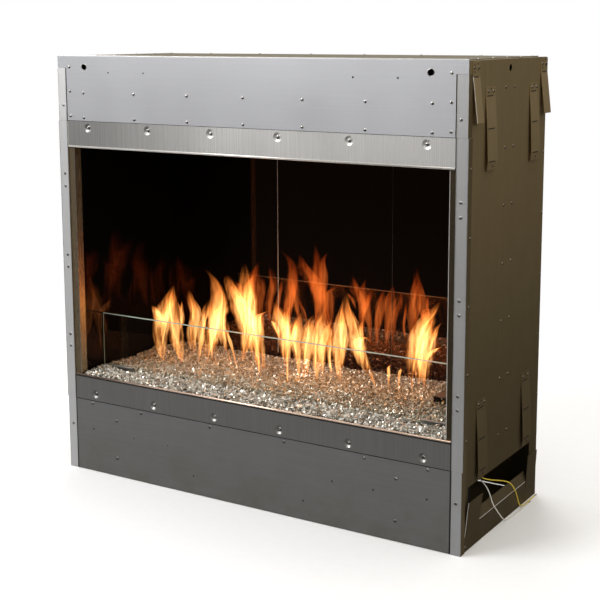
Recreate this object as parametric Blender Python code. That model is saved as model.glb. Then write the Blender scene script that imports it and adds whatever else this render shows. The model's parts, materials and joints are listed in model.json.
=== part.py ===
"""Outdoor gas fireplace with a 36 inch opening, as it leaves the factory.

A folded steel casing holds a glass lined firebox over a service space. The firebox floor
carries a burner tray filled with crushed glass, and a lift-out glass wind guard. The gas
valve, the shut-off valve and the ignition module stand on the base pan below.

Units are metres. X runs to the right, the front faces -Y, Z is up, and the origin is in
the middle of the base, on the floor.
"""

import math

import bmesh
import bpy
from mathutils import Matrix, Vector

# Driving dimensions of the whole appliance
DEPTH = 0.394
HEIGHT = 0.945
FRONT = -DEPTH / 2
BACK = DEPTH / 2
OPENING_HALF = 0.457
OPENING_BOTTOM = 0.2245
OPENING_TOP = 0.743
CASING = 0.0012
FACING = 0.0010
GAP = 0.0004
THROUGH = 0.010

# Casing
WALL_X = 0.4919
SIDE_FLANGE = 0.018
TOP_FLANGE = 0.032
SIDE_FRONT = FRONT + 0.0017
SIDE_BACK = BACK - 0.0013
SIDE_TOP = 0.9420
PAN_X = 0.4900
PAN_Y = (-0.1865, 0.1935)
PAN_HEIGHT = 0.022
PAN_LIP = 0.003
ACCESS_Y = (-0.164, 0.153)
ACCESS_Z = (0.066, 0.128)
SILL_Y = (-0.134, 0.143)
SILL_FOLD_Z = 0.0455
SILL_LEAN = 0.007
CABLE_HOLE = (0.002, 0.9245)
CABLE_HOLE_RADIUS = 0.007
TABS = ((-0.177, -0.112, 0.0085), (0.135, 0.186, 0.0040))
TAB_Z = (0.026, 0.033, 0.103)
REAR_HALF = 0.4890
REAR_Z = (0.004, 0.938)
REAR_FIELD_INSET = 0.055
REAR_FIELD_SLOPE = 0.007
REAR_FIELD_DEPTH = 0.004
TOP_Z = 0.9434
TOP_HALF = 0.4725
TOP_REAR_LIP = 0.0184

# Corner posts, upper and lower facing
POST_INNER = 0.4715
POST_OUTER = 0.4955
CORNER_OUTER = 0.4937
POST_RETURN = 0.018
POST_LIP = 0.010
POST_Z = (0.1680, 0.8018)
FACING_HALF = 0.4698
BAND_HALF = 0.4935
BAND_BOTTOM = 0.918
BAND_RETURN = 0.015
NOTCH_X = 0.4700
UPPER_PANEL_BOTTOM = 0.8022
LOWER_PANEL_TOP = 0.1676
HEM = 0.0022
HEM_Z = (0.0010, 0.012)
STRIP_ROLL = 0.022
STRIP_LIP = (0.003, 0.0125)
UPPER_DIMPLE_Z = 0.788
LOWER_DIMPLE_Z = 0.184
HANGING_HOLE_X = 0.418
HANGING_HOLE_Z = 0.920
HANGING_HOLE_RADIUS = 0.0065
DIMPLE_X = (0.0823, 0.2460, 0.4115)
DIMPLE_RADIUS = 0.0097
DIMPLE_FLOOR = 0.0046
DIMPLE_DEPTH = 0.0028
DIMPLE_SIDES = 14
JAMB_FRONT = 0.0020
JAMB_BEND = 0.0055
JAMB_BACK = 0.0250

# Stand-offs: how far the folded line stands off the side at each height
TOP_STANDOFF_SPANS = {"front": (-0.1780, -0.1460), "rear": (0.1600, 0.1955)}
TOP_STANDOFF_LINE = ((0.0, 0.9410), (0.0, 0.9120), (0.0100, 0.8280))
STRIP_SPANS = {
    "upper": {"front": (-0.117, -0.072), "rear": (0.102, 0.147)},
    "lower": {"front": (-0.133, -0.088), "rear": (0.095, 0.140)},
}
STRIP_TOPS = {"upper": 0.892, "lower": 0.292}
STRIP_LINE = ((0.0, 0.0), (0.0, 0.017), (0.0042, 0.078), (0.0068, 0.140), (0.0052, 0.156))

# Firebox
FLOOR_Z = 0.1660
CEILING_Z = 0.7450
BOX_HALF = 0.4895
BOX_Y = (-0.1860, 0.1912)
GLASS = 0.0048
GLASS_X = 0.4600
GLASS_BACK_Y = 0.1670
GLASS_Z = (0.1666, 0.7440)
GLASS_FRONT_Y = -0.1705
SEAM_X = 0.1525
PANE_GAP = 0.0003
PANE_CHAMFER = 0.0006
REST = 0.0006
SHELL_FLANGE = 0.026
WRAP_X = 0.4690
WRAP_END = 0.4850
WRAP_Y = (-0.1700, 0.1770)

# Burner tray, crushed glass and wind guard
TRAY_HALF = 0.4520
TRAY_Y = (-0.1925, 0.1610)
TRAY_Z = (0.1666, 0.2080)
BED_HALF = 0.4560
BED_TOP = 0.2235
BED_RIPPLE = 0.0022
BED_Y = (-0.1932, 0.1660)
GUARD_Y = (-0.1118, -0.1070)
GUARD_Z = (0.2092, 0.3510)
GUARD_HALF = 0.4585
CLIP_X = 0.395
CLIP_LENGTH = 0.055
CLIP_TOP = 0.2330
CLIP_ROOM = 0.0024
CLIP_FLANGE = 0.012

# Burner and pilot
BURNER_Y = 0.065
BURNER_Z = 0.1935
BURNER_RADIUS = 0.0125
BURNER_HALF = 0.400
PORT_ROWS = 24
PORT_RADIUS = 0.0016
MIXER_X = -0.020
MIXER_RADIUS = 0.0140
MIXER_BOTTOM = 0.108
MIXER_HOLE = 0.0155
AIR_WINDOW_Z = (0.116, 0.127)
SHUTTER_Z = (0.112, 0.132)
BURNER_FEET_X = (-0.33, 0.30)
BURNER_FOOT = 0.020
PILOT_X = 0.350
PILOT_Y = 0.026
ELECTRODE_Y = 0.040
PILOT_LOW = 0.150
PILOT_HOLE = 0.0062
PILOT_WELL = (0.020, 0.008)
HOOD_HALF = 0.017
HOOD_Y = (0.012, 0.048)
HOOD_Z = (0.224, 0.242)

# Gas train and ignition on the base pan
VALVE_Z = 0.055
VALVE_LOW = (-0.078, -0.128, 0.030)
VALVE_HIGH = (0.036, -0.064, 0.080)
VALVE_INLET_Y = -0.092
PILOT_OUTLET = Vector((0.042, -0.0935, 0.060))
BRACKET = 0.002
KNOB_X = -0.048
KNOB_Y = -0.1328
KNOB_LENGTH = 0.0145
SHUTOFF = Vector((-0.370, -0.090, 0.055))
NIPPLE_RADIUS = 0.01065
NIPPLE_BORE = 0.0078
LEVER_HALF = 0.0075
LEVER_LIFT = 0.0225
FEED_RADIUS = 0.0060
ORIFICE_RADIUS = 0.0050
PILOT_TUBE_RADIUS = 0.0030
IGNITER_RADIUS = 0.0020
MODULE_LOW = Vector((0.330, -0.095, 0.0016))
MODULE_HIGH = Vector((0.428, -0.005, 0.1280))
LEAD_RADIUS = 0.0012
LEAD_EXIT_X = 0.4345
LEAD_EXIT_Z = 0.112
WHITE_EXIT_Y = -0.050
YELLOW_EXIT_Y = -0.038

# Surface finishes: colour, roughness and metallic value
FINISHES = {
    "bright": ((0.56, 0.56, 0.58), 0.34, 1.0),
    "grey": ((0.40, 0.40, 0.41), 0.38, 1.0),
    "dark_grey": ((0.17, 0.17, 0.18), 0.42, 1.0),
    "olive": ((0.15, 0.12, 0.08), 0.45, 0.6),
    "tan": ((0.22, 0.20, 0.16), 0.45, 0.6),
    "dark_sheet": ((0.05, 0.05, 0.05), 0.55, 0.6),
    "black_glass": ((0.01, 0.01, 0.012), 0.04, 0.0),
    "clear_glass": ((0.75, 0.85, 0.82), 0.03, 0.0),
    "crushed_glass": ((0.62, 0.58, 0.52), 0.25, 0.0),
    "stainless": ((0.50, 0.50, 0.50), 0.30, 1.0),
    "brass": ((0.60, 0.45, 0.18), 0.30, 1.0),
    "ceramic": ((0.85, 0.84, 0.80), 0.30, 0.0),
    "black_plastic": ((0.02, 0.02, 0.02), 0.50, 0.0),
    "red_grip": ((0.45, 0.03, 0.02), 0.45, 0.0),
    "aluminium": ((0.62, 0.62, 0.63), 0.36, 1.0),
    "white_wire": ((0.80, 0.79, 0.74), 0.45, 0.0),
    "yellow_wire": ((0.75, 0.62, 0.05), 0.45, 0.0),
}

AXES = {"X": (1, 2, 0), "Y": (0, 2, 1), "Z": (0, 1, 2)}


def clear_scene():
    for old in list(bpy.data.objects):
        bpy.data.objects.remove(old, do_unlink=True)


def material_for(name, finish):
    """A Principled material of the object's own, in one of the finishes above."""
    colour, roughness, metallic = FINISHES[finish]
    material = bpy.data.materials.new(name + "_finish")
    material.use_nodes = True
    shader = material.node_tree.nodes["Principled BSDF"]
    shader.inputs["Base Color"].default_value = (*colour, 1.0)
    shader.inputs["Roughness"].default_value = roughness
    shader.inputs["Metallic"].default_value = metallic
    material.diffuse_color = (*colour, 1.0)
    return material


def link(name, shape, finish=None):
    """Turns a bmesh into an object. Without a finish it is a helper that isn't drawn."""
    mesh = bpy.data.meshes.new(name)
    shape.to_mesh(mesh)
    shape.free()
    made = bpy.data.objects.new(name, mesh)
    bpy.context.scene.collection.objects.link(made)
    if finish is None:
        made.hide_render = True
        made.display_type = "WIRE"
    else:
        mesh.materials.append(material_for(name, finish))
    return made


def smooth(made, degrees=35):
    made.data.shade_smooth()
    made.data.set_sharp_from_angle(angle=math.radians(degrees))
    return made


def boolean(made, operation, other):
    modifier = made.modifiers.new(operation.lower(), "BOOLEAN")
    modifier.operation = operation
    modifier.solver = "EXACT"
    modifier.use_self = True
    modifier.object = other


def section_of(line, thickness, side, bend, steps):
    """The two faces of a folded sheet. The line is one face, and the sheet lies to its
    left (side 1) or right (side -1). Each corner is an arc of the middle surface."""
    points = [Vector(point) for point in line]
    ways = [(b - a).normalized() for a, b in zip(points, points[1:])]
    normals = [Vector((-way.y, way.x)) for way in ways]
    half = thickness / 2
    middle = [points[0] + normals[0] * side * half]
    for corner, before, after in zip(points[1:], normals, normals[1:]):
        middle.append(corner + (before + after) * side * half / (1 + before.dot(after)))
    middle.append(points[-1] + normals[-1] * side * half)
    spine = [(middle[0], normals[0])]
    for corner, way, normal, onward in zip(middle[1:], ways, normals, ways[1:]):
        turn = math.atan2(way.cross(onward), way.dot(onward))
        hand = math.copysign(1.0, turn)
        start = corner - way * bend * math.tan(abs(turn) / 2)
        centre = start + normal * hand * bend
        for step in range(steps + 1):
            spun = Matrix.Rotation(turn * step / steps, 2) @ normal
            spine.append((centre - spun * hand * bend, spun))
    spine.append((middle[-1], normals[-1]))
    left = [point + normal * half for point, normal in spine]
    right = [point - normal * half for point, normal in spine]
    return left, right


def place(axis, flat, along):
    """A point from its place in the section and its place along the fold."""
    first, second, third = AXES[axis]
    point = Vector((0.0, 0.0, 0.0))
    point[first], point[second], point[third] = flat[0], flat[1], along
    return point


def add_sheet(shape, axis, line, start, end, thickness=CASING, side=1, bend=None, steps=2):
    """Adds a folded sheet: the section above carried along an axis, with square ends."""
    bend = bend or thickness
    left, right = section_of(line, thickness, side, bend, steps)
    rings = [
        [[shape.verts.new(place(axis, point, along)) for point in face] for face in (left, right)]
        for along in (start, end)
    ]
    (low_left, low_right), (high_left, high_right) = rings
    faces = []
    for i in range(len(left) - 1):
        faces.append((low_left[i], low_left[i + 1], high_left[i + 1], high_left[i]))
        faces.append((low_right[i + 1], low_right[i], high_right[i], high_right[i + 1]))
        faces.append((low_left[i + 1], low_left[i], low_right[i], low_right[i + 1]))
        faces.append((high_left[i], high_left[i + 1], high_right[i + 1], high_right[i]))
    faces.append((low_left[0], high_left[0], high_right[0], low_right[0]))
    faces.append((low_right[-1], high_right[-1], high_left[-1], low_left[-1]))
    made = [shape.faces.new(face) for face in faces]
    bmesh.ops.recalc_face_normals(shape, faces=made)


def sheet(name, finish, axis, line, start, end, **options):
    shape = bmesh.new()
    add_sheet(shape, axis, line, start, end, **options)
    return link(name, shape, finish)


def add_box(shape, low, high, bevel=0.0, segments=1):
    """A box between two corners, its edges rounded if a bevel is given."""
    size = Vector(high) - Vector(low)
    middle = (Vector(high) + Vector(low)) / 2
    matrix = Matrix.Translation(middle) @ Matrix.Diagonal((*size, 1.0))
    verts = bmesh.ops.create_cube(shape, size=1.0, matrix=matrix)["verts"]
    if bevel:
        edges = list({edge for vert in verts for edge in vert.link_edges})
        bmesh.ops.bevel(
            shape, geom=edges, offset=bevel, segments=segments, affect="EDGES", profile=0.5
        )


def add_cylinder(shape, base, along, radius, length, sides=16, end_radius=None):
    """A cylinder or cone from the centre of one end, along a direction."""
    way = Vector(along).normalized()
    turn = Vector((0, 0, 1)).rotation_difference(way).to_matrix().to_4x4()
    matrix = Matrix.Translation(Vector(base) + way * length / 2) @ turn
    bmesh.ops.create_cone(
        shape,
        cap_ends=True,
        segments=sides,
        radius1=radius,
        radius2=radius if end_radius is None else end_radius,
        depth=length,
        matrix=matrix,
    )


def add_turned(shape, profile, base, along, sides=20):
    """A turned piece. The profile lists (radius, height) from the axis round to the axis."""
    way = Vector(along).normalized()
    turn = Vector((0, 0, 1)).rotation_difference(way).to_matrix()
    rings = []
    for radius, height in profile:
        if radius == 0:
            rings.append([shape.verts.new(Vector(base) + turn @ Vector((0, 0, height)))])
            continue
        angles = [2 * math.pi * i / sides for i in range(sides)]
        ring = [Vector((radius * math.cos(a), radius * math.sin(a), height)) for a in angles]
        rings.append([shape.verts.new(Vector(base) + turn @ point) for point in ring])
    made = []
    for lower, upper in zip(rings, rings[1:]):
        for i in range(sides):
            j = (i + 1) % sides
            if len(lower) == 1:
                face = (lower[0], upper[j], upper[i])
            elif len(upper) == 1:
                face = (lower[i], lower[j], upper[0])
            else:
                face = (lower[i], lower[j], upper[j], upper[i])
            made.append(shape.faces.new(face))
    bmesh.ops.recalc_face_normals(shape, faces=made)


def smooth_path(points, spacing):
    """Points a set distance apart on a Catmull-Rom curve through the given ones."""
    points = [Vector(point) for point in points]
    ends = [2 * points[0] - points[1], *points, 2 * points[-1] - points[-2]]
    dense = [points[0]]
    fine = 16
    for a, b, c, d in zip(ends, ends[1:], ends[2:], ends[3:]):
        for step in range(1, fine + 1):
            t = step / fine
            dense.append(
                0.5
                * (
                    2 * b
                    + (c - a) * t
                    + (2 * a - 5 * b + 4 * c - d) * t * t
                    + (3 * b - a - 3 * c + d) * t**3
                )
            )
    lengths = [0.0]
    for a, b in zip(dense, dense[1:]):
        lengths.append(lengths[-1] + (b - a).length)
    count = max(2, round(lengths[-1] / spacing))
    found = []
    j = 0
    for i in range(count + 1):
        target = lengths[-1] * i / count
        while j < len(dense) - 2 and lengths[j + 1] < target:
            j += 1
        share = (target - lengths[j]) / (lengths[j + 1] - lengths[j])
        found.append(dense[j].lerp(dense[j + 1], min(1.0, share)))
    return found


def tube(name, finish, route, radius, spacing):
    """A tube or lead along a route: a curve with a round bevel and filled ends."""
    curve = bpy.data.curves.new(name, "CURVE")
    curve.dimensions = "3D"
    path = smooth_path(route, spacing)
    spline = curve.splines.new("POLY")
    spline.points.add(len(path) - 1)
    for point, spot in zip(spline.points, path):
        point.co = (*spot, 1.0)
    curve.bevel_depth = radius
    curve.bevel_resolution = 2
    curve.use_fill_caps = True
    made = bpy.data.objects.new(name, curve)
    bpy.context.scene.collection.objects.link(made)
    curve.materials.append(material_for(name, finish))
    return made


def sheet_tray(name, finish, low, high, thickness, bevel=0.0015):
    """A pan folded up on four sides and open at the top."""
    shape = bmesh.new()
    add_box(shape, low, high)
    outer = [edge for edge in shape.edges if min(v.co.z for v in edge.verts) < low[2] + 1e-6]
    bmesh.ops.bevel(shape, geom=outer, offset=bevel, segments=2, affect="EDGES", profile=0.5)
    inner = bmesh.new()
    add_box(
        inner,
        (low[0] + thickness, low[1] + thickness, low[2] + thickness),
        (high[0] - thickness, high[1] - thickness, high[2] + 0.01),
    )
    made = link(name, shape, finish)
    boolean(made, "DIFFERENCE", link(name + "_inside", inner))
    return made


def base_pan():
    """The floor of the casing, folded up along both sides. At the front and the rear it has only
    a low lip, because the facing and the rear panel close the casing there."""
    pan = sheet_tray(
        "base_pan", "olive", (-PAN_X, PAN_Y[0], 0.0), (PAN_X, PAN_Y[1], PAN_HEIGHT), CASING
    )
    above_lips = bmesh.new()
    wide, high = PAN_X + THROUGH, PAN_HEIGHT + THROUGH
    for edge, inward in ((PAN_Y[0], 1), (PAN_Y[1], -1)):
        start, end = sorted((edge - inward * THROUGH, edge + inward * 1.5 * CASING))
        add_box(above_lips, (-wide, start, PAN_LIP), (wide, end, high))
    boolean(pan, "DIFFERENCE", link("base_pan_above_lips", above_lips))


def side_panel(name, s):
    """A side of the casing: flanged on three edges, with the access opening, the bent sill
    below it, the cable hole at the top and the two nailing tabs at the bottom."""
    wall = [
        (s * (WALL_X - SIDE_FLANGE), SIDE_FRONT),
        (s * WALL_X, SIDE_FRONT),
        (s * WALL_X, SIDE_BACK),
        (s * (WALL_X - SIDE_FLANGE), SIDE_BACK),
    ]
    panel = sheet(name, "olive", "Z", wall, 0.0, SIDE_TOP, side=s)

    cuts = bmesh.new()
    low_x, high_x = sorted((s * (WALL_X + THROUGH), s * (WALL_X - THROUGH)))
    add_box(cuts, (low_x, ACCESS_Y[0], ACCESS_Z[0]), (high_x, ACCESS_Y[1], ACCESS_Z[1]))
    hole = bmesh.new()
    add_box(hole, (low_x, SILL_Y[0], SILL_FOLD_Z), (high_x, SILL_Y[1], ACCESS_Z[0] + 0.001))
    add_cylinder(hole, (low_x, *CABLE_HOLE), (1, 0, 0), CABLE_HOLE_RADIUS, 2 * THROUGH)
    boolean(panel, "DIFFERENCE", link(name + "_access", cuts))
    boolean(panel, "DIFFERENCE", link(name + "_hole", hole))

    added = bmesh.new()
    root = WALL_X - 0.0001
    sill = [
        (s * root, SILL_FOLD_Z - 0.004),
        (s * root, SILL_FOLD_Z),
        (s * (root - SILL_LEAN), ACCESS_Z[0]),
    ]
    add_sheet(added, "Y", sill, SILL_Y[0] - 0.0005, SILL_Y[1] + 0.0005, thickness=FACING, side=s)
    low_x, high_x = sorted((s * (WALL_X - TOP_FLANGE), s * (WALL_X - 0.0004)))
    add_box(
        added,
        (low_x, SIDE_FRONT + 0.0002, SIDE_TOP - CASING),
        (high_x, SIDE_BACK - 0.0018, SIDE_TOP - 0.0001),
    )
    foot, bend, tip = TAB_Z
    for start, end, lean in TABS:
        tab = [
            (s * (WALL_X - CASING / 2), foot),
            (s * (WALL_X + GAP), bend),
            (s * (WALL_X + lean), tip),
        ]
        add_sheet(added, "Y", tab, start, end, thickness=FACING, side=-s)
    boolean(panel, "UNION", link(name + "_folds", added))


def rear_panel():
    """The back cover, stiffened by a shallow pressed field."""
    shape = bmesh.new()
    rings = []
    edge, floor = REAR_FIELD_INSET, REAR_FIELD_INSET + REAR_FIELD_SLOPE
    for inset, y in ((0.0, BACK), (edge, BACK), (floor, BACK - REAR_FIELD_DEPTH)):
        x, low, high = REAR_HALF - inset, REAR_Z[0] + inset, REAR_Z[1] - inset
        corners = ((-x, y, low), (x, y, low), (x, y, high), (-x, y, high))
        rings.append([shape.verts.new(corner) for corner in corners])
    for outer, inner in zip(rings, rings[1:]):
        for i in range(4):
            j = (i + 1) % 4
            shape.faces.new((outer[i], inner[i], inner[j], outer[j]))
    shape.faces.new(tuple(reversed(rings[-1])))
    made = link("rear_panel", shape, "olive")
    solid = made.modifiers.new("thickness", "SOLIDIFY")
    solid.thickness = FACING
    solid.offset = -1.0
    solid.use_even_offset = True


def top_panel():
    """The lid between the two sides, folded down behind the rear panel's top edge."""
    back = BACK - 0.0015
    line = [(FRONT + 0.003, TOP_Z), (back, TOP_Z), (back, TOP_Z - TOP_REAR_LIP)]
    sheet("top_panel", "tan", "X", line, -TOP_HALF, TOP_HALF, thickness=FACING, side=-1)


def upper_front_panel():
    """The upper facing, folded over the top and notched at its lower corners."""
    line = [(FRONT + BAND_RETURN, HEIGHT), (FRONT, HEIGHT), (FRONT, UPPER_PANEL_BOTTOM + GAP)]
    panel = sheet(
        "upper_front_panel", "bright", "X", line, -BAND_HALF, BAND_HALF, thickness=FACING, side=1
    )
    notches = bmesh.new()
    for s in (-1, 1):
        low_x, high_x = sorted((s * NOTCH_X, s * (BAND_HALF + THROUGH)))
        low = (low_x, FRONT - THROUGH, UPPER_PANEL_BOTTOM - THROUGH)
        add_box(notches, low, (high_x, FRONT + THROUGH, BAND_BOTTOM))
    holes = bmesh.new()
    for s in (-1, 1):
        base = (s * HANGING_HOLE_X, FRONT - THROUGH / 2, HANGING_HOLE_Z)
        add_cylinder(holes, base, (0, 1, 0), HANGING_HOLE_RADIUS, THROUGH)
    boolean(panel, "DIFFERENCE", link("upper_panel_notches", notches))
    boolean(panel, "DIFFERENCE", link("upper_panel_holes", holes))


def lower_front_panel():
    """The lower facing, hemmed flat at its bottom edge."""
    low, high = HEM_Z
    line = [(FRONT + HEM, high), (FRONT + HEM, low), (FRONT, low), (FRONT, LOWER_PANEL_TOP)]
    sheet(
        "lower_front_panel", "dark_grey", "X", line, -FACING_HALF, FACING_HALF,
        thickness=FACING, side=-1, bend=0.0006,
    )


def corner_pieces(hand, s):
    """The corner frame over the full height and the post cover over its middle."""
    def angle(outer):
        return [
            (s * POST_INNER, FRONT + POST_LIP),
            (s * POST_INNER, FRONT),
            (s * outer, FRONT),
            (s * outer, FRONT + POST_RETURN),
        ]

    for name, start, end in (
        ("upper_corner", POST_Z[1] + GAP, BAND_BOTTOM - GAP),
        ("lower_corner", 0.0, POST_Z[0] - GAP),
    ):
        sheet(
            f"{hand}_{name}", "grey", "Z", angle(CORNER_OUTER), start, end,
            thickness=FACING, side=s,
        )
    sheet(f"{hand}_post", "grey", "Z", angle(POST_OUTER), *POST_Z, thickness=FACING, side=s)


def dimples(strip, z):
    """Presses six round dimples into a strip: a cup joined behind it and a cone cut out."""
    cups = bmesh.new()
    cones = bmesh.new()
    wall = FACING * 0.9
    sunk = 0.0003
    proud = 0.0005
    grow = (DIMPLE_RADIUS - DIMPLE_FLOOR) * proud / DIMPLE_DEPTH
    for x in (*(-x for x in DIMPLE_X), *DIMPLE_X):
        add_cylinder(
            cups, (x, FRONT + sunk, z), (0, 1, 0), DIMPLE_RADIUS + wall,
            DIMPLE_DEPTH + FACING - sunk, DIMPLE_SIDES, DIMPLE_FLOOR + wall,
        )
        add_cylinder(
            cones, (x, FRONT - proud, z), (0, 1, 0), DIMPLE_RADIUS + grow,
            DIMPLE_DEPTH + proud, DIMPLE_SIDES, DIMPLE_FLOOR,
        )
    boolean(strip, "UNION", link(strip.name + "_cups", cups))
    boolean(strip, "DIFFERENCE", link(strip.name + "_cones", cones))


def finishing_strips():
    """The two dimpled strips that the finishing material stops against. The upper one
    rolls back over the opening, the lower one ends in a hemmed lip."""
    upper = [(FRONT, UPPER_PANEL_BOTTOM), (FRONT, OPENING_TOP), (FRONT + STRIP_ROLL, OPENING_TOP)]
    strip = sheet(
        "upper_finishing_strip", "grey", "X", upper, -FACING_HALF, FACING_HALF,
        thickness=FACING, side=1, bend=0.0035, steps=4,
    )
    dimples(strip, UPPER_DIMPLE_Z)
    back, drop = STRIP_LIP
    lower = [
        (FRONT, POST_Z[0]),
        (FRONT, OPENING_BOTTOM),
        (FRONT + back, OPENING_BOTTOM),
        (FRONT + back, OPENING_BOTTOM - drop),
    ]
    strip = sheet(
        "lower_finishing_strip", "dark_grey", "X", lower, -FACING_HALF, FACING_HALF,
        thickness=FACING, side=-1, bend=0.0009,
    )
    dimples(strip, LOWER_DIMPLE_Z)


def jamb(name, s):
    """The strip between a post and the opening, set back and turned into the firebox."""
    inner = OPENING_HALF + 0.0002
    line = [
        (s * NOTCH_X, FRONT + JAMB_FRONT),
        (s * inner, FRONT + JAMB_BEND),
        (s * inner, FRONT + JAMB_BACK),
    ]
    sheet(name, "dark_grey", "Z", line, OPENING_BOTTOM + 0.001, OPENING_TOP - 0.001,
          thickness=FACING, side=-s)


def standoffs(hand, s):
    """The bendable stand-offs: two hang from the top corners of a side, and four longer
    strips are screwed to it, two high and two low."""
    face = WALL_X + GAP
    flap = [(s * (face + off), z) for off, z in TOP_STANDOFF_LINE]
    for where, (start, end) in TOP_STANDOFF_SPANS.items():
        sheet(f"{hand}_top_standoff_{where}", "olive", "Y", flap, start, end,
              thickness=FACING, side=s)
    for level, top in STRIP_TOPS.items():
        strip = [(s * (face + off), top - down) for off, down in STRIP_LINE]
        for where, (start, end) in STRIP_SPANS[level].items():
            sheet(f"{hand}_{level}_standoff_{where}", "olive", "Y", strip, start, end,
                  thickness=FACING, side=s, steps=1)


def add_floor_holes(shape, mixer_radius):
    """The holes that the mixing tube and the two pilot stems come up through."""
    low, length = FLOOR_Z - 0.016, 0.03
    add_cylinder(shape, (MIXER_X, BURNER_Y, low), (0, 0, 1), mixer_radius, length)
    for y in (PILOT_Y, ELECTRODE_Y):
        add_cylinder(shape, (PILOT_X, y, low), (0, 0, 1), PILOT_HOLE, length, 12)


def firebox_shell():
    """Floor, ceiling and three walls of folded sheet round the glass."""
    floor_line = [
        (-BOX_HALF, FLOOR_Z - SHELL_FLANGE),
        (-BOX_HALF, FLOOR_Z),
        (BOX_HALF, FLOOR_Z),
        (BOX_HALF, FLOOR_Z - SHELL_FLANGE),
    ]
    floor = sheet("firebox_floor", "dark_sheet", "Y", floor_line, *BOX_Y, side=-1)
    holes = bmesh.new()
    add_floor_holes(holes, MIXER_HOLE + 0.002)
    boolean(floor, "DIFFERENCE", link("firebox_floor_holes", holes))

    ceiling = [
        (-BOX_HALF, CEILING_Z + SHELL_FLANGE),
        (-BOX_HALF, CEILING_Z),
        (BOX_HALF, CEILING_Z),
        (BOX_HALF, CEILING_Z + SHELL_FLANGE),
    ]
    sheet("firebox_ceiling", "dark_sheet", "Y", ceiling, *BOX_Y, side=1)

    front, back = WRAP_Y
    wrap = [
        (-WRAP_END, front), (-WRAP_X, front), (-WRAP_X, back),
        (WRAP_X, back), (WRAP_X, front), (WRAP_END, front),
    ]
    sheet("firebox_wrap", "dark_sheet", "Z", wrap, FLOOR_Z + GAP, CEILING_Z - REST,
          thickness=FACING, side=1)


def pane(name, finish, low, high):
    """A glass pane with its edges ground to a small chamfer."""
    shape = bmesh.new()
    add_box(shape, low, high, bevel=PANE_CHAMFER)
    link(name, shape, finish)


def firebox_glass():
    """Black reflecting glass: one pane on each side and three across the back."""
    for hand, s in (("left", -1), ("right", 1)):
        low_x, high_x = sorted((s * GLASS_X, s * (GLASS_X + GLASS)))
        pane(f"{hand}_side_glass", "black_glass",
             (low_x, GLASS_FRONT_Y, GLASS_Z[0]), (high_x, GLASS_BACK_Y - REST, GLASS_Z[1]))
    edges = (-(GLASS_X + 0.004), -SEAM_X, SEAM_X, GLASS_X + 0.004)
    for name, start, end in zip(("left", "centre", "right"), edges, edges[1:]):
        pane(f"back_glass_{name}", "black_glass",
             (start + PANE_GAP, GLASS_BACK_Y, GLASS_Z[0]),
             (end - PANE_GAP, GLASS_BACK_Y + GLASS, GLASS_Z[1]))


def burner_tray():
    tray = sheet_tray("burner_tray", "stainless", (-TRAY_HALF, TRAY_Y[0], TRAY_Z[0]),
                      (TRAY_HALF, TRAY_Y[1], TRAY_Z[1]), CASING)
    holes = bmesh.new()
    add_floor_holes(holes, MIXER_HOLE)
    boolean(tray, "DIFFERENCE", link("burner_tray_holes", holes))


def rounded_rod(radius, length, inset):
    """The profile of a rod with chamfered ends, or of its bore when inset by a wall."""
    chamfer = 0.4 * radius
    half, neck = radius - inset, radius - chamfer - 0.4 * inset
    return [
        (0, inset), (neck, inset), (half, chamfer + 0.4 * inset),
        (half, length - chamfer - 0.4 * inset), (neck, length - inset), (0, length - inset),
    ]


def burner_tube():
    """The burner: a closed tube with two rows of ports, welded feet, and a mixing tube
    that goes down through the floor and has three air windows near its mouth."""
    shape = bmesh.new()
    r = BURNER_RADIUS
    length = 2 * BURNER_HALF
    add_turned(shape, rounded_rod(r, length, 0), (-BURNER_HALF, BURNER_Y, BURNER_Z), (1, 0, 0), 16)
    made = link("burner_tube", shape, "stainless")

    added = bmesh.new()
    mixer = [
        (0, MIXER_BOTTOM), (MIXER_RADIUS, MIXER_BOTTOM), (MIXER_RADIUS, BURNER_Z - 0.004),
        (0, BURNER_Z - 0.004),
    ]
    add_turned(added, mixer, (MIXER_X, BURNER_Y, 0), (0, 0, 1), 20)
    low, high, half = TRAY_Z[0] + CASING + REST, BURNER_Z - r / 2, 0.011
    foot = [
        (BURNER_Y - half, low),
        (BURNER_Y - half, high),
        (BURNER_Y + half, high),
        (BURNER_Y + half, low),
    ]
    for x in BURNER_FEET_X:
        add_sheet(added, "X", foot, x, x + BURNER_FOOT, side=-1)
    boolean(made, "UNION", link("burner_fittings", added))

    bores = bmesh.new()
    first = -BURNER_HALF + 0.03
    pitch = -2 * first / (PORT_ROWS - 1)
    for row, lean in ((0, -26), (1, 26)):
        way = Vector((0, math.sin(math.radians(lean)), math.cos(math.radians(lean))))
        for i in range(PORT_ROWS):
            x = first + pitch * i + (row - 0.5) * 0.4 * pitch
            base = Vector((x, BURNER_Y, BURNER_Z)) + way * (r - 0.002)
            add_cylinder(bores, base, way, PORT_RADIUS, 0.004, 6)
    boolean(made, "DIFFERENCE", link("burner_ports", bores))
    inside = bmesh.new()
    throat = MIXER_RADIUS - 0.0015
    low, high = MIXER_BOTTOM - 0.01, BURNER_Z - 0.006
    add_turned(inside, [(0, low), (throat, low), (throat, high), (0, high)],
               (MIXER_X, BURNER_Y, 0), (0, 0, 1), 20)
    add_turned(inside, rounded_rod(r, length, CASING), (-BURNER_HALF, BURNER_Y, BURNER_Z),
               (1, 0, 0), 16)
    boolean(made, "DIFFERENCE", link("burner_bore", inside))
    windows = bmesh.new()
    add_windows(windows, *AIR_WINDOW_Z, MIXER_RADIUS)
    boolean(made, "DIFFERENCE", link("burner_windows", windows))
    smooth(made, 40)


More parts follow.
